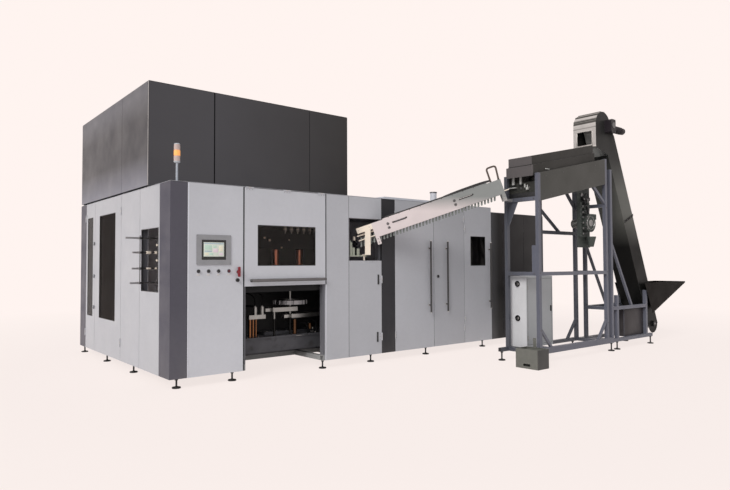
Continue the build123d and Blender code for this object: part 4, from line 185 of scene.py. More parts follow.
class Look:
    """A material under construction: a Principled shader and short ways to add detail."""

    def __init__(self, name, colour, roughness=0.5, metallic=0.0, shine=0.5, **more):
        LOOKS[name] = bpy.data.materials.new(name)
        LOOKS[name].use_nodes = True
        self.tree = LOOKS[name].node_tree
        self.inputs = self.tree.nodes["Principled BSDF"].inputs
        self.base = rgba(colour)
        more.update(Base_Color=self.base, Roughness=roughness, Metallic=metallic, Specular_IOR_Level=shine)
        for key, value in more.items():
            self.inputs[key.replace("_", " ")].default_value = value
        self.where = self.node("ShaderNodeTexCoord").outputs["Object"]

    def node(self, kind, *values, **named):
        return add(self.tree, kind, *values, **named)

    def feed(self, value, name):
        """Let a socket drive one input of the Principled shader."""
        self.tree.links.new(value, self.inputs[name])
        return self

    def noise(self, scale, detail=3.0, stretch=(1, 1, 1)):
        """Noise in the object's metres, scale being how many blotches fit in one metre."""
        place = self.node("ShaderNodeMapping", self.where, Scale=stretch).outputs[0]
        return self.node("ShaderNodeTexNoise", Vector=place, Scale=scale, Detail=detail).outputs["Fac"]

    def ramp(self, value, low, high, out_low=0.0, out_high=1.0):
        """Value between low and high mapped onto a new range."""
        return self.node(
            "ShaderNodeMapRange", Value=value, From_Min=low, From_Max=high, To_Min=out_low, To_Max=out_high,
        ).outputs[0]

    def blotches(self, low, high, scale, **noise):
        """Noise that wanders between two values."""
        return self.ramp(self.noise(scale, **noise), BLOTCH_LOW, BLOTCH_HIGH, low, high)

    def along(self, axis, start, end, low=0.0, high=1.0):
        """Value that runs from low to high between two places on an axis, in machine millimetres."""
        place = self.node("ShaderNodeSeparateXYZ", self.where).outputs[axis]
        shift = {"X": SHIFT_X, "Y": SHIFT_Y, "Z": 0.0}[axis]
        return self.ramp(place, (start + shift) * MM, (end + shift) * MM, low, high)

    def times(self, a, b):
        return self.node("ShaderNodeMath", a, b, operation="MULTIPLY").outputs[0]

    def recolour(self, socket):
        self.base = socket
        return self.feed(socket, "Base Color")

    def tint(self, mask, colour):
        """Lay another colour over the base where the mask is 1."""
        mix = self.node("ShaderNodeMix", data_type="RGBA", Factor=mask, A=self.base, B=rgba(colour))
        return self.recolour(mix.outputs["Result"])

    def zones(self, rows):
        """Each row is (axis, start, end, colour): the colour takes over between start and end."""
        for axis, start, end, colour in rows:
            self.tint(self.along(axis, start, end), colour)
        return self

    def shades(self, scale, spread, **noise):
        """Soft light and dark blotches."""
        base = self.base[:3] if isinstance(self.base, tuple) else self.base
        level = self.blotches(1 - spread, 1 + spread, scale, **noise)
        return self.recolour(self.node("ShaderNodeVectorMath", base, operation="SCALE", Scale=level).outputs[0])

    def rough(self, low, high, scale, **noise):
        """Roughness that varies between two values."""
        return self.feed(self.blotches(low, high, scale, **noise), "Roughness")

    def grain(self, scale, depth, **noise):
        """Small relief, depth in metres."""
        bump = self.node("ShaderNodeBump", Strength=1.0, Distance=depth, Height=self.noise(scale, **noise))
        return self.feed(bump.outputs[0], "Normal")

    def edges(self, colour):
        """Rubbed edges: the base shows a lighter colour where the surface turns sharply."""
        bevel = self.node("ShaderNodeBevel", samples=4, Radius=EDGE_RADIUS).outputs[0]
        real = self.node("ShaderNodeNewGeometry").outputs["Normal"]
        dot = self.node("ShaderNodeVectorMath", bevel, real, operation="DOT_PRODUCT").outputs["Value"]
        worn = self.times(self.ramp(dot, 0.99, 0.8), self.ramp(self.noise(14, 4.0), 0.35, 0.6))
        return self.tint(self.times(worn, EDGE_AMOUNT), colour)

    def dust(self, colour, amount):
        """Dust that thins out upwards from the floor."""
        height = self.along("Z", 0, DUST_TOP, 1.0, 0.0)
        patch = self.ramp(self.noise(3.0, 5.0, stretch=(1, 1, 0.35)), 0.35, 0.7)
        return self.tint(self.times(self.times(height, patch), amount), colour)


def paint(name, colour, roughness=0.42, dust=(0.33, 0.31, 0.29), dusty=0.22, spread=0.06, worn=None, zones=(), **more):
    """Sprayed paint on sheet or tube: faint orange peel, uneven gloss, dust low down, rubbed edges."""
    look = Look(name, colour, roughness, **more).zones(zones)
    look.shades(1.3, spread, detail=4.0).shades(22.0, spread * 0.4, detail=2.0)
    look.rough(roughness - 0.08, roughness + 0.10, 3.5, detail=5.0)
    look.dust(dust, dusty)
    if worn:
        look.edges(worn)
    look.grain(420.0, PEEL_DEPTH, detail=1.0)


def metal(name, colour, roughness=0.32, grain=(1, 1, 1), zones=()):
    """Bare metal with drawn or turned marks that run across the stretched direction."""
    look = Look(name, colour, roughness, 1.0).zones(zones).shades(6.0, 0.10, detail=4.0)
    look.rough(roughness - 0.10, roughness + 0.12, DRAWN_SCALE, detail=3.0, stretch=grain)
    look.grain(DRAWN_SCALE, DRAWN_DEPTH, detail=2.0, stretch=grain)


def plastic(name, colour, roughness=0.4, **more):
    """Moulded plastic with a fine spark-eroded texture."""
    look = Look(name, colour, roughness, **more).shades(9.0, 0.05)
    look.rough(roughness - 0.06, roughness + 0.08, 30.0).grain(900.0, PEEL_DEPTH, detail=1.0)


def rubber(name, colour):
    """Dull rubber with pale chalky patches."""
    look = Look(name, colour, 0.75).shades(5.0, 0.2, detail=5.0)
    look.tint(look.ramp(look.noise(40.0, 6.0), 0.55, 0.85, 0.0, 0.25), (0.3, 0.3, 0.29))
    look.grain(500.0, 0.00006)


def glass(name, colour, bend=1.03):
    """Smoked pane with faint smears; a low bend keeps the pale surroundings out of its reflection."""
    look = Look(name, colour, 0.03, Transmission_Weight=1.0, IOR=bend)
    look.shades(2.0, 0.12, detail=4.0).rough(0.015, 0.07, 7.0, detail=6.0)


def cast(name, colour):
    """Painted casting: coarse sand texture and oil stains."""
    look = Look(name, colour, 0.55, 0.2, 0.3).shades(4.0, 0.18, detail=6.0)
    look.tint(look.ramp(look.noise(9.0, 6.0), 0.58, 0.72, 0.0, 0.5), (0.03, 0.026, 0.022))
    look.rough(0.42, 0.7, 15.0, detail=5.0).grain(180.0, 0.00025, detail=5.0)


def lit(name, colour, level):
    """A field of the lit screen picture, with a faint pixel grain."""
    look = Look(name, colour, 0.15, Emission_Color=rgba(colour), Emission_Strength=level)
    look.shades(60.0, 0.06).rough(0.1, 0.2, 20.0)


def lens_look(name):
    """Ribbed lamp lens: pale ends and a lit amber middle tier."""
    look = Look(name, (0.66, 0.52, 0.48), 0.25, Emission_Color=(1.0, 0.50, 0.16, 1))
    middle = look.times(look.along("Z", 2500, 2506), look.along("Z", 2562, 2568, 1.0, 0.0))
    look.tint(middle, (1.0, 0.42, 0.12)).zones([("Z", 2444, 2440, (0.42, 0.45, 0.50))])
    look.shades(30.0, 0.05).feed(look.times(middle, 0.42), "Emission Strength").rough(0.2, 0.34, 30.0)


def upper_look_painted_sheen(name):
    """Dark satin paint of the upper enclosure with painted shade, darker towards the right, and a painted sheen on its
    left side, lighter low down and near the top.
    """
    # painted shade: the dark paint turns darker still towards the right, from X 814 to 2872
    look = Look(name, (0.050, 0.050, 0.058), 0.40).zones([("X", 814, 2872, (0.009, 0.009, 0.010))])
    # painted shade and painted reflection on the left side: darker overall, with lighter bands low down and near the
    # top
    left = look.along("X", 8, 2)
    look.tint(left, (0.024, 0.024, 0.031))
    look.tint(look.times(left, look.along("Z", 2600, 2250)), (0.20, 0.20, 0.24))
    look.tint(look.times(left, look.along("Z", 3040, 3330)), (0.095, 0.095, 0.112))
    look.shades(1.3, 0.05, detail=4.0).rough(0.34, 0.48, 3.5, detail=5.0).grain(420.0, PEEL_DEPTH, detail=1.0)


def cover_look_painted_grooves(name):
    """Bright bent sheet of the lift's head, with painted shade as dark bands where the grooves between its pressed
    ridges lie.
    """
    look = Look(name, (0.56, 0.56, 0.55), 0.34, 1.0)
    # painted shade: dark bands in the grooves between the pressed ridges
    for low, high, colour in (
        (3338, 3352, (0.30, 0.30, 0.29)), (3410, 3446, (0.10, 0.10, 0.095)), (3446, 3482, (0.21, 0.21, 0.20)),
        (3522, 3560, (0.14, 0.14, 0.13)), (3560, 3660, (0.22, 0.22, 0.21)),
    ):
        band = look.times(look.along("Z", low - 3, low + 3), look.along("Z", high - 3, high + 3, 1.0, 0.0))
        look.tint(band, colour)
    look.shades(6.0, 0.08, detail=4.0).rough(0.26, 0.44, DRAWN_SCALE, stretch=(1, 25, 1))
    look.grain(DRAWN_SCALE, DRAWN_DEPTH, detail=2.0, stretch=(1, 25, 1))


def chute_look_painted_reflection(name):
    """Satin sheet of the chute with a painted reflection: pale and warm low down, greyer towards its high end."""
    # painted reflection: greyer from z 2010 up to the high end
    look = Look(name, (0.69, 0.62, 0.62), 0.45, 0.35).zones([("Z", 2010, 2200, (0.26, 0.275, 0.27))])
    look.shades(3.0, 0.05, detail=4.0).rough(0.36, 0.55, 160.0, stretch=(1, 1, 8)).grain(220.0, 0.00003, detail=2.0)


def make_materials():
    """One material for each finish in the record, and the shades that some pieces need."""
    panel = (0.64, 0.645, 0.685)
    # painted shade: lit and shaded copies of the panel paint, darker towards the right of the front and on the left
    # side; each is lighter towards the bottom as painted light
    for name, level in (
        ("middle", 0.855), ("feed", 0.81), ("left", 0.84), ("right", 0.79), ("narrow", 0.86), ("side", 0.78),
    ):
        colour = tuple(c * level for c in panel)
        low = tuple(c * 1.06 for c in colour)
        paint("panel_painted_shade_" + name, colour, 0.36, dusty=0.08, spread=0.035, zones=[("Z", 2200, 300, low)])
    # painted light: the panel paint turns lighter towards the bottom
    paint("panel_paint", panel, 0.36, dusty=0.06, spread=0.035, zones=[("Z", 2200, 300, (0.73, 0.735, 0.78))])
    # painted highlight: pale paint for the folded edges that catch the light
    paint("edge_highlight_paint", (0.80, 0.80, 0.86), 0.36, dusty=0.05, spread=0.03)
    # painted light: the frame is much lighter below z 162, where its bottom tube is lit
    paint("frame_paint", (0.15, 0.15, 0.168), 0.45, dusty=0.08, worn=(0.35, 0.35, 0.36), zones=[("Z", 176, 162, 0.36)])
    metal("foot_steel", 0.045, 0.5)
    # painted shade: darker on the left side, darker from X 2400 on, a less dark band near X 5225, then nearly black
    # from about X 5400
    paint("dark_paint", (0.105, 0.10, 0.125), 0.38, worn=(0.2, 0.2, 0.22), shine=0.3, zones=[
        ("X", 6, 1, (0.056, 0.055, 0.082)),
        ("X", 2400, 2420, (0.031, 0.031, 0.036)),
        ("X", 5200, 5225, (0.075, 0.075, 0.08)),
        ("X", 5235, 5420, (0.004, 0.004, 0.005)),
        ("X", 5500, 5540, (0.007, 0.007, 0.009)),
    ])
    upper_look_painted_sheen("upper_paint")
    # painted shade: the bay's walls are near black to stand in for the shade deep in the bay
    paint("bay_paint", (0.020, 0.020, 0.021), 0.6, spread=0.12, shine=0.2)
    cast("cast_bed", (0.10, 0.10, 0.11))
    metal("machined_steel", (0.33, 0.33, 0.32), 0.36, (30, 1, 1))
    # painted shade on the rods right of X 1500; painted light above z 1060, where the columns are seen through the
    # lift window
    metal("bronze", (0.27, 0.125, 0.06), 0.3, (1, 1, 25), [
        ("X", 1500, 1560, (0.10, 0.052, 0.028)),
        ("Z", 1000, 1060, (0.44, 0.18, 0.12)),
    ])
    # painted shade: the blow station's steel is near black below z 625
    metal("station_steel_painted_shade", (0.33, 0.33, 0.32), 0.36, (30, 1, 1), [("Z", 640, 625, 0.02)])
    metal("wheel_alloy", (0.26, 0.26, 0.27), 0.42)
    # painted light and shade: the rails are dark inside the cabinet and lighter on their ends past X -110
    metal("rail_steel", (0.10, 0.10, 0.105), 0.4, (1, 25, 25), [("X", -110, -125, (0.34, 0.34, 0.35))])
    metal("hinge_steel", (0.16, 0.16, 0.165), 0.42)
    lens_look("lamp_plastic")
    each(
        plastic,
        ("lamp_grey", (0.55, 0.57, 0.60), 0.35),
        ("black_plastic", (0.020, 0.020, 0.022), 0.45),
        ("bezel_grey", (0.33, 0.33, 0.345), 0.4),
        ("screen", (0.012, 0.014, 0.014), 0.12),
        ("button_black", (0.022, 0.022, 0.026), 0.28),
        ("button_dark_red", (0.11, 0.022, 0.035), 0.28),
        ("lever_red", (0.24, 0.008, 0.018), 0.3),
        ("rail_white", (0.92, 0.81, 0.68), 0.45),
        ("guide_green", (0.62, 0.65, 0.53), 0.4),
        ("fitting_grey", (0.55, 0.55, 0.53), 0.35),
        ("conduit_plastic", (0.085, 0.06, 0.047), 0.5),
    )
    plastic("seal_black", (0.006, 0.006, 0.007), 0.8, shine=0.1)
    each(
        lit,
        ("picture_ground", (0.62, 0.66, 0.58), 0.25),
        ("picture_green", (0.46, 0.60, 0.50), 0.3),
        ("picture_pink", (0.66, 0.55, 0.60), 0.3),
        ("picture_yellow", (0.70, 0.66, 0.52), 0.3),
        ("picture_dark", (0.38, 0.47, 0.50), 0.25),
    )
    metal("label_plate", 0.60, 0.4)
    each(
        glass,
        ("dark_pane", (0.30, 0.26, 0.23)),
        ("lift_pane", (0.86, 0.80, 0.76), 1.2),
        # painted shade: the narrow door's pane is near black, standing in for the unlit inside
        ("narrow_pane", (0.08, 0.08, 0.075), 1.16),
        ("grey_pane", (0.30, 0.30, 0.31), 1.09),
    )
    metal("handle_steel", (0.08, 0.08, 0.082), 0.34, (1, 1, 30))
    # painted shade: darker on the rear posts, from Y -1080 back
    paint("frame_paint_light", (0.125, 0.13, 0.165), dusty=0.08, worn=(0.4, 0.4, 0.42), zones=[
        ("Y", -1440, -1080, (0.075, 0.08, 0.098)),
    ])
    paint("trough_paint", (0.050, 0.050, 0.044), worn=(0.2, 0.2, 0.19), shine=0.35)
    # painted shade: the hood's front face is much darker than its lit left end, and darker still from X 5060
    paint("hood_paint", (0.116, 0.105, 0.105), worn=(0.3, 0.29, 0.28), shine=0.3, zones=[
        ("X", 4279, 4283, (0.014, 0.014, 0.011)),
        ("X", 4900, 5060, (0.009, 0.009, 0.007)),
    ])
    metal("roller_steel", 0.36, 0.32, (30, 1, 1))
    rubber("kicker_rubber", 0.03)
    paint("drive_paint", (0.065, 0.075, 0.068), 0.5, worn=0.25, shine=0.3)
    # painted light and shade: a lighter band at mid height, strongest between z 2080 and 2450, nearly black below z
    # 1560 and on the parts in front of Y -1465
    paint("casing_paint", (0.030, 0.030, 0.029), dust=(0.05, 0.047, 0.043), worn=(0.2, 0.2, 0.19), shine=0.1, zones=[
        ("Z", 2900, 2450, (0.14, 0.14, 0.127)),
        ("Z", 2080, 1560, (0.008, 0.008, 0.0075)),
        ("Y", -1463.5, -1465, 0.008),
    ])
    # painted light: the belt is made pale so it reads as lit inside the shaded head
    rubber("belt_rubber", (0.70, 0.70, 0.67))
    metal("drum_steel", 0.30, 0.36, (1, 25, 1))
    cover_look_painted_grooves("cover_steel")
    metal("cover_trim", (0.62, 0.61, 0.59), 0.32, (1, 25, 1))
    paint("motor_paint", (0.018, 0.014, 0.018), 0.45, worn=0.12, shine=0.3)
    paint("hopper_paint", (0.010, 0.008, 0.007), 0.5, (0.02, 0.018, 0.016), worn=(0.12, 0.11, 0.10), shine=0.05)
    # painted shade: the front face is darker than the lit left side
    paint("cabinet_paint", (0.66, 0.66, 0.675), 0.45, dusty=0.08, spread=0.05, zones=[
        ("Y", -1250, -1251.5, (0.40, 0.41, 0.42)),
    ])
    # painted shade: the front face is darker than the lit left side
    paint("bin_paint", (0.15, 0.15, 0.132), 0.55, dusty=0.1, spread=0.14, worn=(0.35, 0.34, 0.31), zones=[
        ("Y", -1779, -1781, (0.036, 0.036, 0.034)),
    ])
    chute_look_painted_reflection("chute_sheet")
    plastic("preform_plastic", (0.34, 0.37, 0.35), 0.2, Transmission_Weight=0.25, IOR=1.45)


# CAD nodes that wear their own shade instead of their slot's material
SHADES = {
    "front_panels": "panel_painted_shade_middle",
    "feed_door": "panel_painted_shade_feed",
    "left_leaf_door": "panel_painted_shade_left",
    "right_leaf_door": "panel_painted_shade_right",
    "narrow_door": "panel_painted_shade_narrow",
    "side_panels": "panel_painted_shade_side",
    "side_door_a": "panel_painted_shade_side",
    "side_door_b": "panel_painted_shade_side",
    "hinge_pins": "label_plate",
    "blow_station": "station_steel_painted_shade",
    "lift_door_handle": "hinge_steel",
    "lift_door_glass": "lift_pane",
    "narrow_door_glass": "narrow_pane",
    "side_door_b_glass": "grey_pane",
}


def dress_nodes():
    """Every CAD node gets the material of its slot, or its own shade of it."""
    for part in frame["record"]["subparts"]:
        node = frame["nodes"][part["node"]]
        mat = LOOKS[SHADES.get(part["node"], part["material_slot"])]
        if not node.material_slots:
            node.data.materials.append(mat)
        for slot in node.material_slots:
            slot.material = mat


# Geometry helpers, all in machine millimetres
def circle(count, radius=1.0, turn=0.0):
    """Evenly spaced points round a circle, as (x, y)."""
    angles = [turn + 2 * pi * i / count for i in range(count)]
    return [(radius * cos(a), radius * sin(a)) for a in angles]


class Piece:
    """A detail piece under construction: simple solids collected in one mesh."""

    def __init__(self, place=None):
        self.mesh = bmesh.new()
        self.place = place or Matrix.Identity(4)

    def block(self, x0, x1, y0, y1, z0, z1, bevel=1.0):
        """Bar or plate with rounded edges."""
        middle = Matrix.Translation(((x0 + x1) / 2, (y0 + y1) / 2, (z0 + z1) / 2))
        size = Matrix.Diagonal((x1 - x0, y1 - y0, z1 - z0, 1))
        verts = bmesh.ops.create_cube(self.mesh, size=1, matrix=middle @ size)["verts"]
        edges = list({edge for vert in verts for edge in vert.link_edges})
        bevel = min(bevel, min(x1 - x0, y1 - y0, z1 - z0) * 0.35)
        bmesh.ops.bevel(self.mesh, geom=edges, offset=bevel, segments=2, profile=0.5, affect="EDGES")
        return self

    def loops(self, rings):
        """Skin over a row of rings of points, with closed ends."""
        made = [[self.mesh.verts.new(point) for point in ring] for ring in rings]
        count = len(made[0])
        for low, high in zip(made, made[1:]):
            for i in range(count):
                j = (i + 1) % count
                self.mesh.faces.new((low[i], low[j], high[j], high[i]))
        self.mesh.faces.new(made[0][::-1])
        self.mesh.faces.new(made[-1])
        return self

    def turned(self, start, toward, profile, sides=20):
        """Turned solid: the profile is a row of (radius, distance along the axis)."""
        turn = Vector(toward).to_track_quat("Z", "X").to_matrix()
        start = Vector(start)
        return self.loops([
            [start + turn @ Vector((x, y, along)) for x, y in circle(sides, radius)] for radius, along in profile
        ])

    def rod(self, radius, start, end, bevel=1.0, sides=20):
        """Round bar with rounded rims."""
        length = (Vector(end) - Vector(start)).length
        b = min(bevel, radius * 0.4, length * 0.4)
        profile = [(radius - b, 0), (radius, b), (radius, length - b), (radius - b, length)]
        return self.turned(start, Vector(end) - Vector(start), profile, sides)

    def post(self, radius, x, y, z0, z1, bevel=1.0, sides=20):
        """Upright round bar."""
        return self.rod(radius, (x, y, z0), (x, y, z1), bevel, sides)

    def torus(self, centre, toward, major, minor, sides=32, around=8):
        """Round rim or ring."""
        turn = Vector(toward).to_track_quat("Z", "X").to_matrix()
        centre = Vector(centre)
        rows = []
        for x, y in circle(sides):
            section = [((major + out) * x, (major + out) * y, up) for out, up in circle(around, minor)]
            rows.append([self.mesh.verts.new(centre + turn @ Vector(point)) for point in section])
        for i, k in product(range(sides), range(around)):
            j, m = (i + 1) % sides, (k + 1) % around
            self.mesh.faces.new((rows[i][k], rows[j][k], rows[j][m], rows[i][m]))
        return self

    def bolt(self, start, toward, radius=6.0, high=4.0):
        """Hexagon head with a chamfered top, on a washer."""
        self.turned(start, toward, [(radius * 1.35, 0), (radius * 1.35, high * 0.3)], 20)
        self.turned(start, toward, [(radius, high * 0.3), (radius, high * 0.85), (radius * 0.85, high)], 6)
        return self

    def bolts(self, xs, ys, zs, toward, radius, high):
        """Bolts at every crossing of three rows of coordinates."""
        for place in product(xs, ys, zs):
            self.bolt(place, toward, radius, high)

    def bolt_circle(self, centre, toward, reach, count, radius, high, turn=0.0):
        """Bolts on a circle that lies square to an upright or a forward axis."""
        x, y, z = centre
        for u, v in circle(count, reach, turn):
            place = (x + u, y + v, z) if toward == UP else (x + u, y, z + v)
            self.bolt(place, toward, radius, high)

    def screw(self, start, toward, radius=4.0, high=1.6):
        """Low round screw head."""
        profile = [(radius, 0), (radius, high * 0.4), (radius * 0.75, high * 0.85), (radius * 0.3, high)]
        return self.turned(start, toward, profile, 14)

    def pipe(self, points, radius, sides=12):
        """Rigid pipe along a smooth line through control points."""
        route = smooth_route(points)
        rings = []
        for i, point in enumerate(route):
            ahead = route[min(i + 1, len(route) - 1)] - route[max(i - 1, 0)]
            rings.append((point, ahead, radius))
        return self.skin(rings, sides)

    def skin(self, rings, sides):
        """Tube skin over (point, direction, radius) rings, without twist."""
        side = None
        rows = []
        for point, ahead, radius in rings:
            ahead = ahead.normalized()
            if side is None:
                side = ahead.orthogonal().normalized()
            side = (side - ahead * side.dot(ahead)).normalized()
            other = ahead.cross(side)
            rows.append([point + (side * x + other * y) * radius for x, y in circle(sides)])
        return self.loops(rows)

    def finish(self, name, slot, look=None, body="machine"):
        """Turn the collected solids into an object that rides on a body."""
        to_row = Matrix.Diagonal((MM, MM, MM, 1)) @ Matrix.Translation((SHIFT_X, SHIFT_Y, 0))
        bmesh.ops.transform(self.mesh, matrix=to_row @ self.place, verts=self.mesh.verts)
        bmesh.ops.recalc_face_normals(self.mesh, faces=self.mesh.faces)
        mesh = bpy.data.meshes.new(name)
        self.mesh.to_mesh(mesh)
        self.mesh.free()
        mesh.shade_smooth()
        mesh.set_sharp_from_angle(angle=radians(32))
        mesh.materials.append(LOOKS[look or slot])
        piece = put(name, mesh)
        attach(piece, body)
        return piece


def smooth_route(points):
    """Points along a smooth line that the control points pull into shape."""
    data = bpy.data.curves.new("route", "CURVE")
    data.dimensions = "3D"
    data.resolution_u = 6
    spline = data.splines.new("NURBS")
    spline.points.add(len(points) - 1)
    for knot, point in zip(spline.points, points):
        knot.co = (*point, 1)
    spline.order_u = 3
    spline.use_endpoint_u = True
    holder = bpy.data.objects.new("route", data)
    mesh = bpy.data.meshes.new_from_object(holder)
    route = [vert.co.copy() for vert in mesh.vertices]
    bpy.data.objects.remove(holder)
    bpy.data.curves.remove(data)
    bpy.data.meshes.remove(mesh)
    return route


def even_route(points, step):
    """Points an even step apart along the smooth line through the control points."""
    line = smooth_route(points)
    route = [line[0]]
    left = step
    for a, b in zip(line, line[1:]):
        length = (b - a).length
        along = left
        while along <= length:
            route.append(a.lerp(b, along / length))
            along += step
        left = along - length
    return route



# Places of the cabinet's joints, as the solids have them
LOW, HIGH, LIFT_FOOT = 100, 2200, 1054
X_CONTROL, X_LIFT, X_MIDDLE, X_FEED, X_COLUMN = 189, 862, 1995, 2364, 2923
X_LEFT, X_RIGHT, X_NARROW, X_END, X_STEP, X_HALF, X_LAST = 3165, 3927, 4588, 5232, 5523, 6081.5, 6640
Y_OUTFEED, Y_PLAIN, Y_DOOR_A, Y_DOOR_B, Y_REAR = 309, 951, 1657, 2839, 3303
UPPER_Y, UPPER_LOW, UPPER_HIGH, UPPER_X1, UPPER_X2 = 691, 2220, 3434, 814, 2216
LEFT, RIGHT = (-1, 0, 0), (1, 0, 0)
FRONT, BACK = (0, -1, 0), (0, 1, 0)
UP, DOWN = (0, 0, 1), (0, 0, -1)


def panel_seals_and_gap_shade():
    """Black seals in the gaps between panels and doors, near black so they also stand in for the shade in the gaps
    (painted shade), dark strips that widen two joints (painted shade), and painted highlights on the folded edges
    beside some.
    """
    half, inset = 2.5, 6
    on_sheet = (-1.2, 0.4)
    # painted shade: the near-black seals also stand in for the shade inside the gaps
    seals = Piece()
    for z0, z1, places in (
        (LOW, HIGH, (X_CONTROL, X_FEED, X_COLUMN, X_LEFT, X_RIGHT, X_NARROW)),
        (LIFT_FOOT, HIGH, (X_LIFT, X_MIDDLE)),
        (LOW, HIGH - 70, (X_END, X_STEP, X_HALF)),
    ):
        for x in places:
            seals.block(x - half, x + half, half, 24, z0 + inset, z1 - inset, 0.8)
    for y in (Y_OUTFEED, Y_PLAIN, Y_DOOR_A, Y_DOOR_B, Y_REAR):
        seals.block(half, 24, y - half, y + half, LOW + inset, HIGH - inset, 0.8)
    front, back, low, high = UPPER_Y + 1.5, UPPER_Y + 24, UPPER_LOW + inset, UPPER_HIGH - inset
    each(
        seals.block,
        (UPPER_X1 - 7.2, UPPER_X1 + 7.2, front, back, low, high, 0.8),
        (UPPER_X2 - half, UPPER_X2 + half, front, back, low, high, 0.8),
        (1.5, 24, Y_DOOR_A - half, Y_DOOR_A + half, low, high, 0.8),
        # painted shade: dark strips on the sheet widen the joints at X_LIFT and X_MIDDLE
        (X_LIFT - 14, X_LIFT - 3.5, *on_sheet, LOW + inset, HIGH - inset, 0.5),
        (X_MIDDLE + 3, X_MIDDLE + 11, *on_sheet, LIFT_FOOT, HIGH - inset, 0.5),
    )
    strip = Piece().block(*on_sheet, UPPER_Y + 1, UPPER_Y + 15, UPPER_LOW + 4, UPPER_HIGH - 4, 0.5)
    strip.finish("upper_corner_trim", "handle_steel", "label_plate")
    # painted highlights: pale strips on the folded edges of the control panel and the middle panel
    edges = Piece().block(190, 207, *on_sheet, LOW + inset, HIGH - inset, 0.5)
    edges.block(1996, 2008, *on_sheet, LOW + inset, LIFT_FOOT, 0.5)
    edges.finish("folded_edge_highlights", "panel_paint", "edge_highlight_paint")
    seals.finish("panel_seals_and_gap_shade", "black_plastic", "seal_black")


def gaskets():
    """Black edge trims round the windows of the front (along X) and of the left side (along Y)."""
    wide, across = 7, (-1.6, 1.9)
    for name, body, front, low, high, z0, z1 in (
        ("lift_window_gasket", "lift_door", True, 1034, 1840, 1292, 1768),
        ("narrow_window_gasket", "narrow_door", True, 4734, 5083, 1275, 1732),
        ("side_window_gasket_a", "side_door_a", False, 1897, 2615, 580, 1990),
        ("side_window_gasket_b", "side_door_b", False, 2946, 3216, 580, 1990),
        ("outfeed_window_gasket", "machine", False, 337, 895, 1005, 1720),
    ):
        trim = Piece()
        for a, b, c, d in (
            (low, high, z0, z0 + wide), (low, high, z1 - wide, z1),
            (low, low + wide, z0 + wide, z1 - wide), (high - wide, high, z0 + wide, z1 - wide),
        ):
            plan = (a, b, *across) if front else (*across, a, b)
            trim.block(*plan, c, d, 0.8)
        trim.finish(name, "black_plastic", body=body)


def handle_fittings():
    """Flanges and end caps of the long bar handles."""
    flange = [(19, 0), (19, 2), (15, 4), (10, 5)]
    for door, x in (("left_leaf", 3828), ("right_leaf", 4182), ("narrow_door", 5170)):
        parts = Piece()
        for z in (712, 1531):
            parts.turned((x, 0, z), FRONT, flange, 24)
        for z, way in ((602, DOWN), (1641, UP)):
            parts.turned((x, -42, z), way, [(13.4, -6), (13.4, 2), (11, 5), (5, 6.5)], 24)
        parts.finish(door + "_handle_fittings", "handle_steel", "label_plate", door)
    parts = Piece()
    for x in (1041, 1861):
        parts.turned((x, 0, 1123), FRONT, flange, 24)
    for x, way in ((931, LEFT), (1971, RIGHT)):
        parts.turned((x, -38, 1123), way, [(18.4, -7), (18.4, 2), (15, 6), (7, 8)], 24)
    parts.finish("lift_door_handle_fittings", "handle_steel", body="lift_door")


def hinge_screws():
    """Screw heads on the door halves of the hinges, and the covers of the feed door's hinges."""
    sheet, low, high = -2.5, 329, 1990

    def heads(door, way, *places):
        part = Piece()
        for (x, y, z), step in product(places, (-38, 0, 38)):
            part.screw((x + step, y, z) if door == "lift_door" else (x, y, z + step), way, 3.6)
        part.finish(door + "_hinge_screws", "hinge_steel", body=door)

    heads("feed_door", FRONT, (X_COLUMN - 33, sheet, low), (X_COLUMN - 33, sheet, 1099))
    covers = Piece()
    for x, z in ((2843, low), (2860, 1099)):
        covers.block(x - 13, x + 13, -9, -1.5, z - 66, z + 66, 3)
    covers.finish("feed_door_hinge_covers", "hinge_steel", "black_plastic", "feed_door")
    heads("left_leaf", FRONT, (X_LEFT + 17, sheet, low), (X_LEFT + 17, sheet, high))
    heads("right_leaf", FRONT, (X_NARROW - 25.45, sheet, low), (X_NARROW - 25.45, sheet, high))
    heads("narrow_door", FRONT, (X_NARROW + 25.45, sheet, 479), (X_NARROW + 25.45, sheet, 1840))
    heads("side_door_a", LEFT, (sheet, Y_DOOR_A + 17, low), (sheet, Y_DOOR_A + 17, high))
    heads("side_door_b", LEFT, (sheet, Y_REAR - 17, low), (sheet, Y_REAR - 17, high))
    heads("lift_door", FRONT, (928, sheet, 2173), (1428.5, sheet, 2173), (1929, sheet, 2173))


def lock_slots():
    """Key slots and dark rings of the round locks."""
    slots = Piece()
    for z in (714, 1153, 1612):
        slots.block(-18.2, -16, 2862, 2867, z - 9, z + 9, 0.6)
        slots.torus((-7, 2864.5, z), LEFT, 22, 4, 28, 8)
    slots.finish("side_lock_slots", "black_plastic", body="side_door_b")
    slots = Piece().block(4009.5, 4014.5, -18.2, -16, 1114, 1132, 0.6)
    slots.turned((4012, 0.5, 1123), FRONT, [(23, 0), (23, 9.2), (15, 10.4), (15, 16.4), (13.6, 17.6)], 28)
    slots.finish("front_lock_slot", "black_plastic", body="right_leaf")


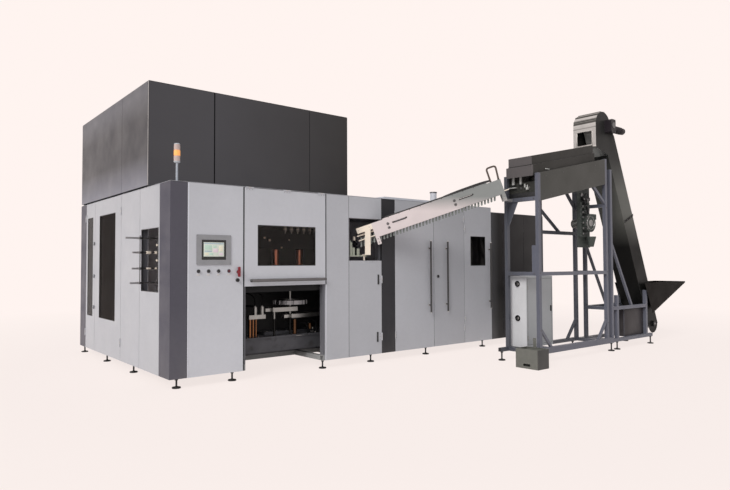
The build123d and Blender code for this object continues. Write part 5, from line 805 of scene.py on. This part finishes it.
def controls():
    """Lit picture of the screen, rings and blank label plates of the buttons."""
    left, low, face = 370, 1397, -6
    Piece().block(left, left + 239, face - 0.4, face, low, low + 156, 0.1).finish(
        "screen_picture_ground", "screen", "picture_ground")
    for look, boxes in (
        ("picture_green", ((12, 96, 74, 126), (110, 150, 96, 122), (68, 112, 14, 40))),
        ("picture_pink", ((110, 168, 46, 86), (181, 225, 14, 40))),
        ("picture_yellow", ((178, 225, 58, 122), (12, 56, 14, 40))),
        ("picture_dark", ((6, 233, 136, 150), (12, 96, 50, 66))),
    ):
        field = Piece()
        for x0, x1, z0, z1 in boxes:
            field.block(left + x0, left + x1, face - 0.8, face - 0.3, low + z0, low + z1, 0.1)
        field.finish("screen_" + look, "screen", look)
    rings, plates, screws = Piece(), Piece(), Piece()
    for x in (312, 428, 545, 669):
        rings.torus((x, -9.5, 1237), FRONT, 18, 2.2)
        plates.block(x - 17, x + 17, -1.2, 0, 1189, 1203, 0.4)
    rings.torus((782, -7.5, 1226), FRONT, 19, 1.6)
    rings.torus((775, -5.5, 1133), FRONT, 21, 1.4)
    rings.finish("button_rings", "handle_steel")
    plates.finish("button_label_plates", "handle_steel", "label_plate")
    for x, z in product((297, 683), (1316, 1626)):
        screws.screw((x, -9, z), FRONT, 3.4)
    screws.finish("screen_screws", "hinge_steel")


def tower_details():
    """Ribbed lens rims and the domed top of the tower light."""
    x, y, low, tier = 147, 200, 2443, 62
    ribs = Piece()
    for i, k in product(range(3), range(9)):
        ribs.torus((x, y, low + tier * i + 5 + 5.6 * k), UP, 34, 0.9, 36, 6)
    ribs.finish("tower_lens_ribs", "lamp_plastic")
    caps = Piece()
    caps.turned((x, y, low + 3 * tier), UP, [(33, -1), (33, 3), (30, 8), (22, 12), (9, 14)], 32)
    caps.turned((x, y, low - 2), UP, [(24, -16), (34.6, -8), (35, 0), (35, 3)], 32)
    caps.finish("tower_caps", "lamp_plastic", "lamp_grey")


def foot_pads():
    """Rubber rims under the levelling feet, and the washers of their nuts."""
    cabinet = [(x, 55) for x in (98, 742, 1983, 2767, 3800, 5054, 5800, 6585)]
    cabinet += [(55, 1300), (55, 2400), (55, 3545), (1500, 3545), (2953, 3545), (4500, 2345), (6585, 2345)]
    stands = [(4190, -1010), (5900, -1010), (4335, -1510), (6130, -1510)]
    stands += [(6345, -1485), (7400, -1485), (7400, -1065)]
    rims, washers = Piece(), Piece()
    for x, y in cabinet + stands:
        nut = (120 if y < 0 else 100) - 14.5
        rims.torus((x, y, 4.5), UP, 44.5, 3.6, 28, 8)
        washers.turned((x, y, nut), UP, [(19, 0), (19, 2), (17, 2.5)])
        washers.turned((x, y, 14), UP, [(22, -1), (20, 5), (13, 9), (11, 10)])
    rims.finish("foot_rubber_rims", "kicker_rubber")
    washers.finish("foot_washers", "foot_steel")


def bay_details():
    """Bolts, rigid pipes, valves and small fittings in the service bay."""
    bed, cylinders = 418, (1212, 1309)
    dark = Piece()
    each(
        dark.block,
        (1985, 2065, 345, 420, bed, 470, 4),
        (892, 2334, 640, 662, 1010, 1060, 3),
        (892, 2334, 640, 652, 1520, 1760, 3),
    )
    dark.post(26, 2095, 360, bed, 500, 3)
    dark.post(14, 1960, 352, bed, 452, 2)
    each(
        dark.pipe,
        ([(2060, 350, 455), (2090, 338, 520), (2070, 345, 580), (2010, 400, 600), (1990, 520, 600)], 9),
        ([(1960, 352, 450), (1950, 340, 530), (1900, 360, 560), (1850, 480, 540), (1840, 640, 520)], 8),
        ([(930, 640, 470), (930, 600, 620), (960, 560, 760), (1100, 560, 800), (1240, 480, 790)], 12),
        ([(1309, 390, 787), (1309, 390, 860), (1340, 430, 900), (1400, 560, 930), (1420, 665, 930)], 7),
        ([(1212, 390, 787), (1212, 390, 880), (1190, 440, 940), (1150, 560, 960), (1150, 665, 960)], 7),
    )
    dark.finish("bay_hoses", "black_plastic", "seal_black")
    light = Piece()
    each(
        light.block,
        (1992, 2040, 325, 345, 430, 452, 2),
        (1760, 1964, 312, 316.5, 399, 405, 1),
        (1335, 1421, 345, 435, 724, 764, 3),
        (1600, 1688, 345, 435, 633, 673, 3),
    )
    light.post(8, 2030, 345, 470, 492, 1.5)
    light.post(9, 2070, 345, 405, 432, 1.5)
    for x in cylinders:
        light.post(11, x, 390, 787, 800, 1.5)
        light.post(29, x, 390, 700, 708, 1.5)
    light.bolts((1435, 1763), (326, 454), [770], UP, 7, 6)
    light.bolts((1702, 2236), (326, 454), [679], UP, 7, 6)
    light.bolts(range(1450, 2320, 145), [520], [456], UP, 8, 7)
    light.bolts(range(940, 1390, 150), [360], [bed], UP, 8, 7)
    light.finish("bay_bolts", "machined_steel")
    wheel, hub = Piece(), (1713, 390, 854.5)
    wheel.bolt_circle(hub, UP, 52, 8, 6, 5)
    wheel.torus(hub, UP, 180, 1.6, 48, 6)
    wheel.finish("transfer_wheel_bolts", "machined_steel", body="transfer_wheel")
    nozzles = Piece()
    for x in range(1640, 2111, 94):
        nozzles.post(22.5, x, 390, 1786, 1806, 2)
        nozzles.post(20.6, x, 390, 1752, 1760, 1.5)
        nozzles.bolt((x, 310, 1828), FRONT, 6, 5)
    nozzles.finish("nozzle_collars", "rail_white")
    columns = Piece()
    for x, z in product((1616, 1983), (1176, 1300, 1424, 1480)):
        columns.post(49, x, 590, z, z + 16, 2.5, 32)
    columns.finish("column_collars", "bronze")


def window_glints():
    """Small pale valve heads on the panel behind the lift door's window, placed to give painted glints."""
    # painted glints: pale heads placed where small glints show behind the window
    heads = Piece()
    for x, z, r in (
        (1300, 1712, 15), (1262, 1652, 17), (1480, 1652, 13), (1556, 1622, 14), (1735, 1530, 11), (1850, 1630, 10),
    ):
        heads.turned((x, 640, z), FRONT, [(r, -2), (r, 10), (r * 0.7, 16), (r * 0.3, 18)])
    heads.finish("valve_heads_painted_glints", "rail_white")


def feed_window_details():
    """Guide blocks and a small gripper behind the feed window."""
    table = 1424
    guides = Piece()
    each(
        guides.block,
        (2412, 2740, 100, 170, 1408, table, 2),
        (2476, 2512, 118, 160, table, 1598, 5),
        (2512, 2552, 112, 160, table, 1528, 5),
        (2590, 2632, 112, 160, table, 1516, 5),
    )
    guides.post(9, 2494, 140, 1598, 1622, 2)
    guides.finish("feed_guides", "rail_white", "guide_green")
    tip = Piece().turned((2556, 136, 1624), UP, [(15, 0), (17, 8), (17, 40), (12, 52), (5, 56)])
    tip.block(2664, 2728, 104, 150, table, 1432, 2)
    tip.finish("feed_gripper_tip", "rail_white")
    dark = Piece().block(2554, 2588, 122, 152, table, 1624, 4)
    dark.block(2530, 2610, 126, 150, 1560, 1590, 4)
    dark.finish("feed_gripper", "black_plastic", "seal_black")


def outfeed_details():
    """White guide shoes and clamp screws on the bottle rails inside the outfeed window."""
    y = 616
    shoes, screws = Piece(), Piece()
    for z, thick in ((1609, 0), (1447, 15), (1268, 9), (1106, 0)):
        screws.bolt((100, y + 24, z), BACK, 7, 6)
        screws.block(-128, -72, y - 13, y + 30, z - 13, z + 13, 3)
        screws.turned((-2, y, z), LEFT, [(10.6, -4), (13, -2), (13, 0), (10.6, 2)], 24)
        if thick:
            for x in (-12, 82):
                shoes.block(x - 26, x + 26, y - 17, y + 17, z - thick, z + thick, 4)
    screws.post(5, -100, y + 22, 1094, 1640, 1.5)
    screws.post(6, 92, y, 1094, 1621, 1.5)
    for z in (1533, 1358):
        shoes.block(76, 116, y - 14, y + 14, z - 12, z + 12, 3)
    shoes.finish("outfeed_guide_shoes", "rail_white")
    screws.finish("outfeed_clamp_screws", "rail_steel")


# Frames of the sloping parts: local x climbs along them, local z stands square to them
TROUGH = Matrix.Translation((4390, -1275, 2330)) @ Matrix.Rotation(-atan2(0.2143, 1), 4, "Y")
CHUTE_TURN = Matrix.Rotation(radians(-38.97), 4, "Z")
CHUTE_PLACE = Matrix.Translation((2779.5, -127.8, 1673))
CHUTE = CHUTE_PLACE @ CHUTE_TURN @ Matrix.Rotation(radians(-18.85), 4, "Y")
LIFT_SLOPE = radians(66.1)
LIFT_FACE = -1460
HEAD_X, HEAD_Z = 6190, 3382.7


def lift_x(z, offset=0):
    """X of a line along the lift at a height, moved square to the lift by an offset."""
    return 6255 + (3236 - z) / tan(LIFT_SLOPE) + offset / sin(LIFT_SLOPE)


def sorter_details():
    """Fittings under the hood's left end, tube caps, bolts and the trough's small parts."""
    back, front = -1100, -1221
    pale = Piece()
    each(
        pale.post,
        (20, 4366, back, 2378, 2492, 4),
        (18, 4366, front, 2376, 2478, 4),
        (11, 4370, -1285, 2330, 2380, 2),
        (9, 4370, -1325, 2330, 2362, 2),
    )
    pale.block(4340, 4392, -1150, -985, 2334, 2343, 2)
    pale.block(4352, 4386, -1340, -1310, 2296, 2330, 3)
    pale.finish("trough_end_cylinders", "rail_white", "fitting_grey")
    dark = Piece()
    dark.post(8, 4366, back, 2490, 2530, 2)
    dark.post(8, 4366, front, 2476, 2524, 2)
    each(
        dark.block,
        (4352, 4392, back - 28, back + 28, 2362, 2380, 3),
        (4352, 4392, front - 27, front + 27, 2360, 2378, 3),
        (4386, 4391, -1530, -990, 2150, 2262, 2),
    )
    dark.finish("trough_end_brackets", "black_plastic")
    caps = Piece().block(4306, 4310, -1534, -1486, 121, 199, 1.5)
    caps.block(4146, 4150, -1034, -986, 121, 169, 1.5)
    caps.finish("frame_tube_caps", "black_plastic")
    bolts = Piece()
    bolts.bolts((4335, 6010), [-1535], (430, 1100, 1180, 2130), FRONT, 7, 5)
    bolts.bolts([4310], (-1460, -1275, -1090), (1170, 2165), LEFT, 7, 5)
    bolts.finish("sorter_bolts", "hinge_steel")
    trims = Piece(TROUGH)
    trims.bolts((120, 540, 1010, 1380), [-260], [118], FRONT, 6, 5)
    trims.bolts((180, 600, 1070, 1440), [-260], [-145], FRONT, 6, 5)
    trims.finish("trough_bolts", "hinge_steel")
    Piece().block(4274.5, 4277, -1462, -1088, 2604, 2612, 0.8).finish("hood_seam", "black_plastic", "seal_black")
    Piece().block(4545, 4640, -1493, -1482, 2572, 2584, 2).finish("hood_latch", "rail_white", "fitting_grey")


def drive_details():
    """Valves, rigid pipes, gauge and cooling ribs on the drive under the trough."""
    x, z = 5777, 1900
    dark, light = Piece(), Piece()
    for i in range(6):
        h = 1740 + 80 * i
        dark.block(5640, 5682, -1352, -1315, h - 24, h + 24, 3)
        light.block(5646, 5676, -1356, -1352, h - 12, h + 6, 1)
        light.turned((5610, -1395, h), FRONT, [(14, 0), (14, 3), (9, 5), (9, 12)], 6)
        hook = ((5610, -1405, 0), (5610, -1432, 0), (5650, -1440, 20), (5668, -1380, 46), (5668, -1340, 40))
        dark.pipe([(hx, hy, h + rise) for hx, hy, rise in hook], 6)
    for i in range(9):
        light.torus((x, -1299 + 18 * i, z), FRONT, 63, 2.5, 32, 6)
    light.turned((5690, -1315, 2320), FRONT, [(26, 0), (26, 16), (23, 19), (20, 17)], 28)
    for stub in (5835, 5735):
        light.turned((stub, -1339, 2210), UP, [(8, 0), (8, 60)], 16)
    light.torus((x, -1416, z), FRONT, 96, 5, 40, 8)
    light.rod(52, (x, -1424, z), (x, -1415, z), 3, 32)
    light.bolt_circle((x, -1415, z), FRONT, 122, 8, 6, 5)
    dark.block(5700, 5900, -1340, -1315, 2240, 2290, 4)
    each(
        dark.pipe,
        ([(5735, -1339, 2262), (5735, -1345, 2320), (5780, -1350, 2350), (5840, -1345, 2330), (5880, -1330, 2290)], 7),
        ([(x, -1376, 2035), (x, -1380, 2120), (5700, -1390, 2160), (5690, -1360, 2240), (5700, -1330, 2265)], 13),
    )
    dark.finish("drive_valves", "black_plastic")
    light.finish("drive_fittings_bright", "roller_steel")


def lift_details():
    """Rivets, strap bolts, bearing bolts, head trim and the motor's fan cover."""
    rivets = Piece()
    for z, offset, (y, way) in product(range(420, 3000, 130), (-136, 136), ((LIFT_FACE, FRONT), (-1090, BACK))):
        rivets.screw((lift_x(z, offset), y, z), way, 5, 2.5)
    rivets.finish("lift_rivets", "casing_paint")
    bolts = Piece()
    strap, strap_x = 300, lift_x(1930, -150)
    for t in (0.06, 0.3, 0.7, 0.94):
        place = (strap_x + t * strap * sin(LIFT_SLOPE), LIFT_FACE - 6, 1950 + t * strap * cos(LIFT_SLOPE))
        bolts.bolt(place, FRONT, 6, 4)
    for x, y, z, way in (
        (lift_x(310), -1490, 310, FRONT), (lift_x(310), -1060, 310, BACK), (HEAD_X, -1060, HEAD_Z, BACK),
    ):
        bolts.bolt_circle((x, y, z), way, 34, 4, 5, 4, pi / 4)
    face = LIFT_FACE - 112
    bolts.bolts((HEAD_X - 46, HEAD_X + 46), [face], (HEAD_Z - 92, HEAD_Z + 74), FRONT, 6, 5)
    bolts.turned((HEAD_X, face, HEAD_Z), FRONT, [(44, 0), (44, 5), (38, 8), (22, 8)], 32)
    bolts.finish("lift_bolts", "hinge_steel")
    y, z = LIFT_FACE - 56, HEAD_Z - 40
    motor = Piece()
    for i in range(5):
        motor.torus((6564, y, z), RIGHT, 8 + 8 * i, 1.6, 32, 6)
    motor.turned((6524, y, z), RIGHT, [(50, 0), (50, 26), (46, 34), (42, 38)], 32)
    motor.block(6330, 6416, y + 46, y + 76, z - 34, z + 34, 5)
    motor.post(9, 6350, y + 60, z - 52, z - 34, 2)
    motor.finish("motor_fan_cover", "motor_paint")
    sheet, proud = 5877, 5873.5
    trim = Piece().block(5870, sheet, -1459, -1091, 3044, 3060, 1.5)
    for y in (-1402, -1148):
        trim.block(proud, sheet, y - 5, y + 5, 3076, 3300, 1)
    for z in (3078, 3297):
        trim.block(proud, sheet, -1407, -1143, z - 5, z + 5, 1)
    for y in (-1440, -1275, -1110):
        trim.screw((sheet, y, 3318), LEFT, 5, 2.5)
    trim.finish("head_cover_trim", "cover_steel", "cover_trim")


def hopper_details():
    """Rolled rim of the hopper and rivets along its mouth."""
    end, front, back, top = 8607, -1531, -1019, 980
    rim = Piece().rod(6, (end, front, top), (end, back, top), 2)
    for y, way in ((front, FRONT), (back, BACK)):
        rim.rod(6, (7172, y, top), (8611, y, top), 2)
        for x in range(7300, 8501, 150):
            rim.screw((x, y - way[1], 948), way, 5, 2.5)
    rim.finish("hopper_rim", "hopper_paint")


def side_cabinet_details():
    """Door joint, latch and port bosses of the pale cabinet, and the control box's door."""
    y, left, right, low, high = -1253, 4444, 4996, 206, 1098
    dark, bright = Piece(), Piece()
    for z in (low, high):
        dark.block(left, right, y - 0.8, y, z - 1.5, z + 1.5, 0.3)
    for x in (left, right):
        dark.block(x - 1.5, x + 1.5, y - 0.8, y, low, high, 0.3)
    dark.block(4962, 4984, y - 10, y, 640, 720, 4)
    for z in (563, 1029):
        dark.torus((4407, -1114.5, z), LEFT, 32, 9, 36, 8)
        bright.turned((4428, -1114.5, z), LEFT, [(29, 0), (28, 6), (22, 14), (10, 18)], 28)
    dark.finish("side_cabinet_seams", "black_plastic", "seal_black")
    for z in (300, 980):
        bright.post(6, 4440, y - 5, z - 30, z + 30, 2)
    bright.finish("side_cabinet_ports", "machined_steel")
    door = Piece().block(6614, 7216, -1462, -1460, 174, 596).block(6608, 6610, -1456, -1218, 174, 596)
    door.turned((7150, -1462, 385), FRONT, [(14, 0), (14, 4), (9, 7)])
    door.finish("control_box_door", "frame_paint_light", "motor_paint")


def bin_details():
    """Rolled rim of the bin and the ring on its wall."""
    x0, x1, y0, y1, z = 3903.5, 4122.5, -1782.5, -1461.5, 238
    rim = Piece()
    for a, b in (((x0, y0), (x1, y0)), ((x0, y1), (x1, y1)), ((x0, y0), (x0, y1)), ((x1, y0), (x1, y1))):
        rim.rod(4.5, (*a, z), (*b, z), 1.5, 14)
    rim.torus((4126.5, -1564, 330), RIGHT, 12, 2.2, 24, 8)
    rim.finish("bin_rim", "bin_paint")


def chute_details():
    """Bolts, screws, cables with their ties and the ribbed conduit of the feed chute."""
    dark = Piece(CHUTE)
    for x in (160, 1095):
        for z in (70, 125):
            dark.turned((x, 0, z), FRONT, [(19, 0), (19, 1.6), (17, 2.2)], 24)
            dark.turned((x, -9, z), FRONT, [(11, -6), (11, 3), (9.5, 4.5)], 6)
        dark.bolt((x + 258, 0, 125), FRONT, 8, 6)
        dark.rod(6, (x + 62, -4, 118), (x + 252, -4, 118), 1, 12)
    for x in range(190, 1541, 150):
        dark.block(x, x + 8, 1.5, 35, 199, 223, 1.5)
    for y, radius in ((11, 9), (29, 8)):
        dark.pipe([(x, y, 211 + radius) for x in (150, 700, 1400, 1560)] + [(1640, 15, 218)], radius)
    dark.pipe([(980, 20, 224), (1120, 20, 234), (1400, 20, 238), (1560, 20, 236), (1636, 15, 226)], 9)
    dark.finish("chute_bolts_and_cables", "black_plastic")
    screws = Piece(CHUTE)
    for x in (-236, -90):
        screws.screw((x, 0, 163), FRONT, 6, 2)
    screws.bolts((-26, 1742), [0], (-70, -24), FRONT, 7, 4)
    screws.finish("chute_leg_screws", "machined_steel")
    arch = ((1638, 196), (1638, 335), (1640, 388), (1703, 392), (1766, 388), (1764, 335), (1748, 196))
    route = even_route([(x, 15, z) for x, z in arch], 3.0)
    rings = []
    for i in range(1, len(route) - 1):
        rings.append((route[i], route[i + 1] - route[i - 1], 13.0 if i % 3 else 11.2))
    conduit = Piece(CHUTE).skin(rings, 16).finish("ribbed_conduit", "conduit_plastic")
    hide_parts("chute_conduit")
    nuts = Piece(CHUTE)
    for x in (1638, 1748):
        nuts.turned((x, 15, 198), UP, [(15, 0), (15, 10), (12.5, 13), (12.5, 20)], 6)
    nuts.finish("conduit_glands", "black_plastic")


def preform_row():
    """Preforms hanging by their neck rings, each with a threaded neck and a round tip."""
    profile = [
        (1, 0), (5, 0.6), (9, 3), (12, 7.5), (13, 13), (13, 98), (12.4, 101), (13.5, 103.4),
        (18, 104), (18, 107.4), (17.4, 108), (12.6, 108.6), (12.6, 111), (14.2, 112), (14.2, 114),
        (12.6, 115), (12.6, 117), (14.2, 118), (14.2, 120), (12.6, 121), (12.6, 127.6), (12, 128),
        (10.6, 128), (10.2, 110),
    ]
    neck, lift = 104, 2.816
    row = Piece()
    for i in range(42):
        hang = CHUTE @ Vector((-241 + 46 * i, 48, 40))
        row.turned((hang.x, hang.y, hang.z + lift - neck), UP, profile, 16)
    piece = row.finish("hanging_preforms", "preform_plastic")
    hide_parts("preforms")


def roof_and_rear_details():
    """Louvres, fasteners and a gland plate on the back and right end, and lifting eyes on the roofs."""
    slats = Piece()
    for z in [low + 26 * i for low in (1650, 420) for i in range(9)]:
        for x in (3462, 4370, 5278, 6186):
            slats.block(x - 150, x + 150, 2400, 2407, z, z + 10, 2)
        if z >= 1650:
            for y in (600, 1800):
                slats.block(X_LAST, X_LAST + 7, y - 150, y + 150, z, z + 10, 2)
    slats.finish("louvres", "panel_paint")
    cap = Piece().turned((4498, 560, 2438), UP, [(59, 0), (59.5, 2), (59.5, 14), (52, 16.5)], 32)
    cap.finish("stub_pipe_cap", "hinge_steel")
    dark = Piece().block(X_LAST, X_LAST + 8, 980, 1180, 320, 440, 2)
    gland = [(16, 0), (16, 8), (12, 12), (12, 22), (6, 24)]
    for y, z in product((1020, 1080, 1140), (350, 410)):
        dark.turned((X_LAST + 8, y, z), RIGHT, gland, 6)
    for x, dx, z in product((3008, 3916, 4824, 5732), (60, 848), (180, 1100, 2050)):
        dark.turned((x + dx, 2400, z), BACK, [(11, 0), (11, 2.5), (8, 4)])
    dark.finish("rear_fasteners", "black_plastic")
    eyes = Piece()
    for x, y in product((500, 2400), (1300, 3000)):
        eyes.post(22, x, y, 3436, 3448, 3)
        eyes.torus((x, y, 3472), RIGHT, 22, 7, 28, 10)
    eyes.bolts((3420, 3960, 4500), (460, 1460), [2292], UP, 8, 6)
    eyes.bolt_circle((4498, 560, 2452), UP, 46, 6, 5, 4)
    eyes.finish("lifting_eyes", "hinge_steel")


make_camera()
make_world()
make_floor()
make_lights()
make_materials()
dress_nodes()
panel_seals_and_gap_shade()
gaskets()
handle_fittings()
hinge_screws()
lock_slots()
controls()
tower_details()
foot_pads()
bay_details()
window_glints()
feed_window_details()
outfeed_details()
sorter_details()
drive_details()
lift_details()
hopper_details()
side_cabinet_details()
bin_details()
chute_details()
preform_row()
roof_and_rear_details()

view = bpy.context.scene.view_settings
view.view_transform = "Standard"
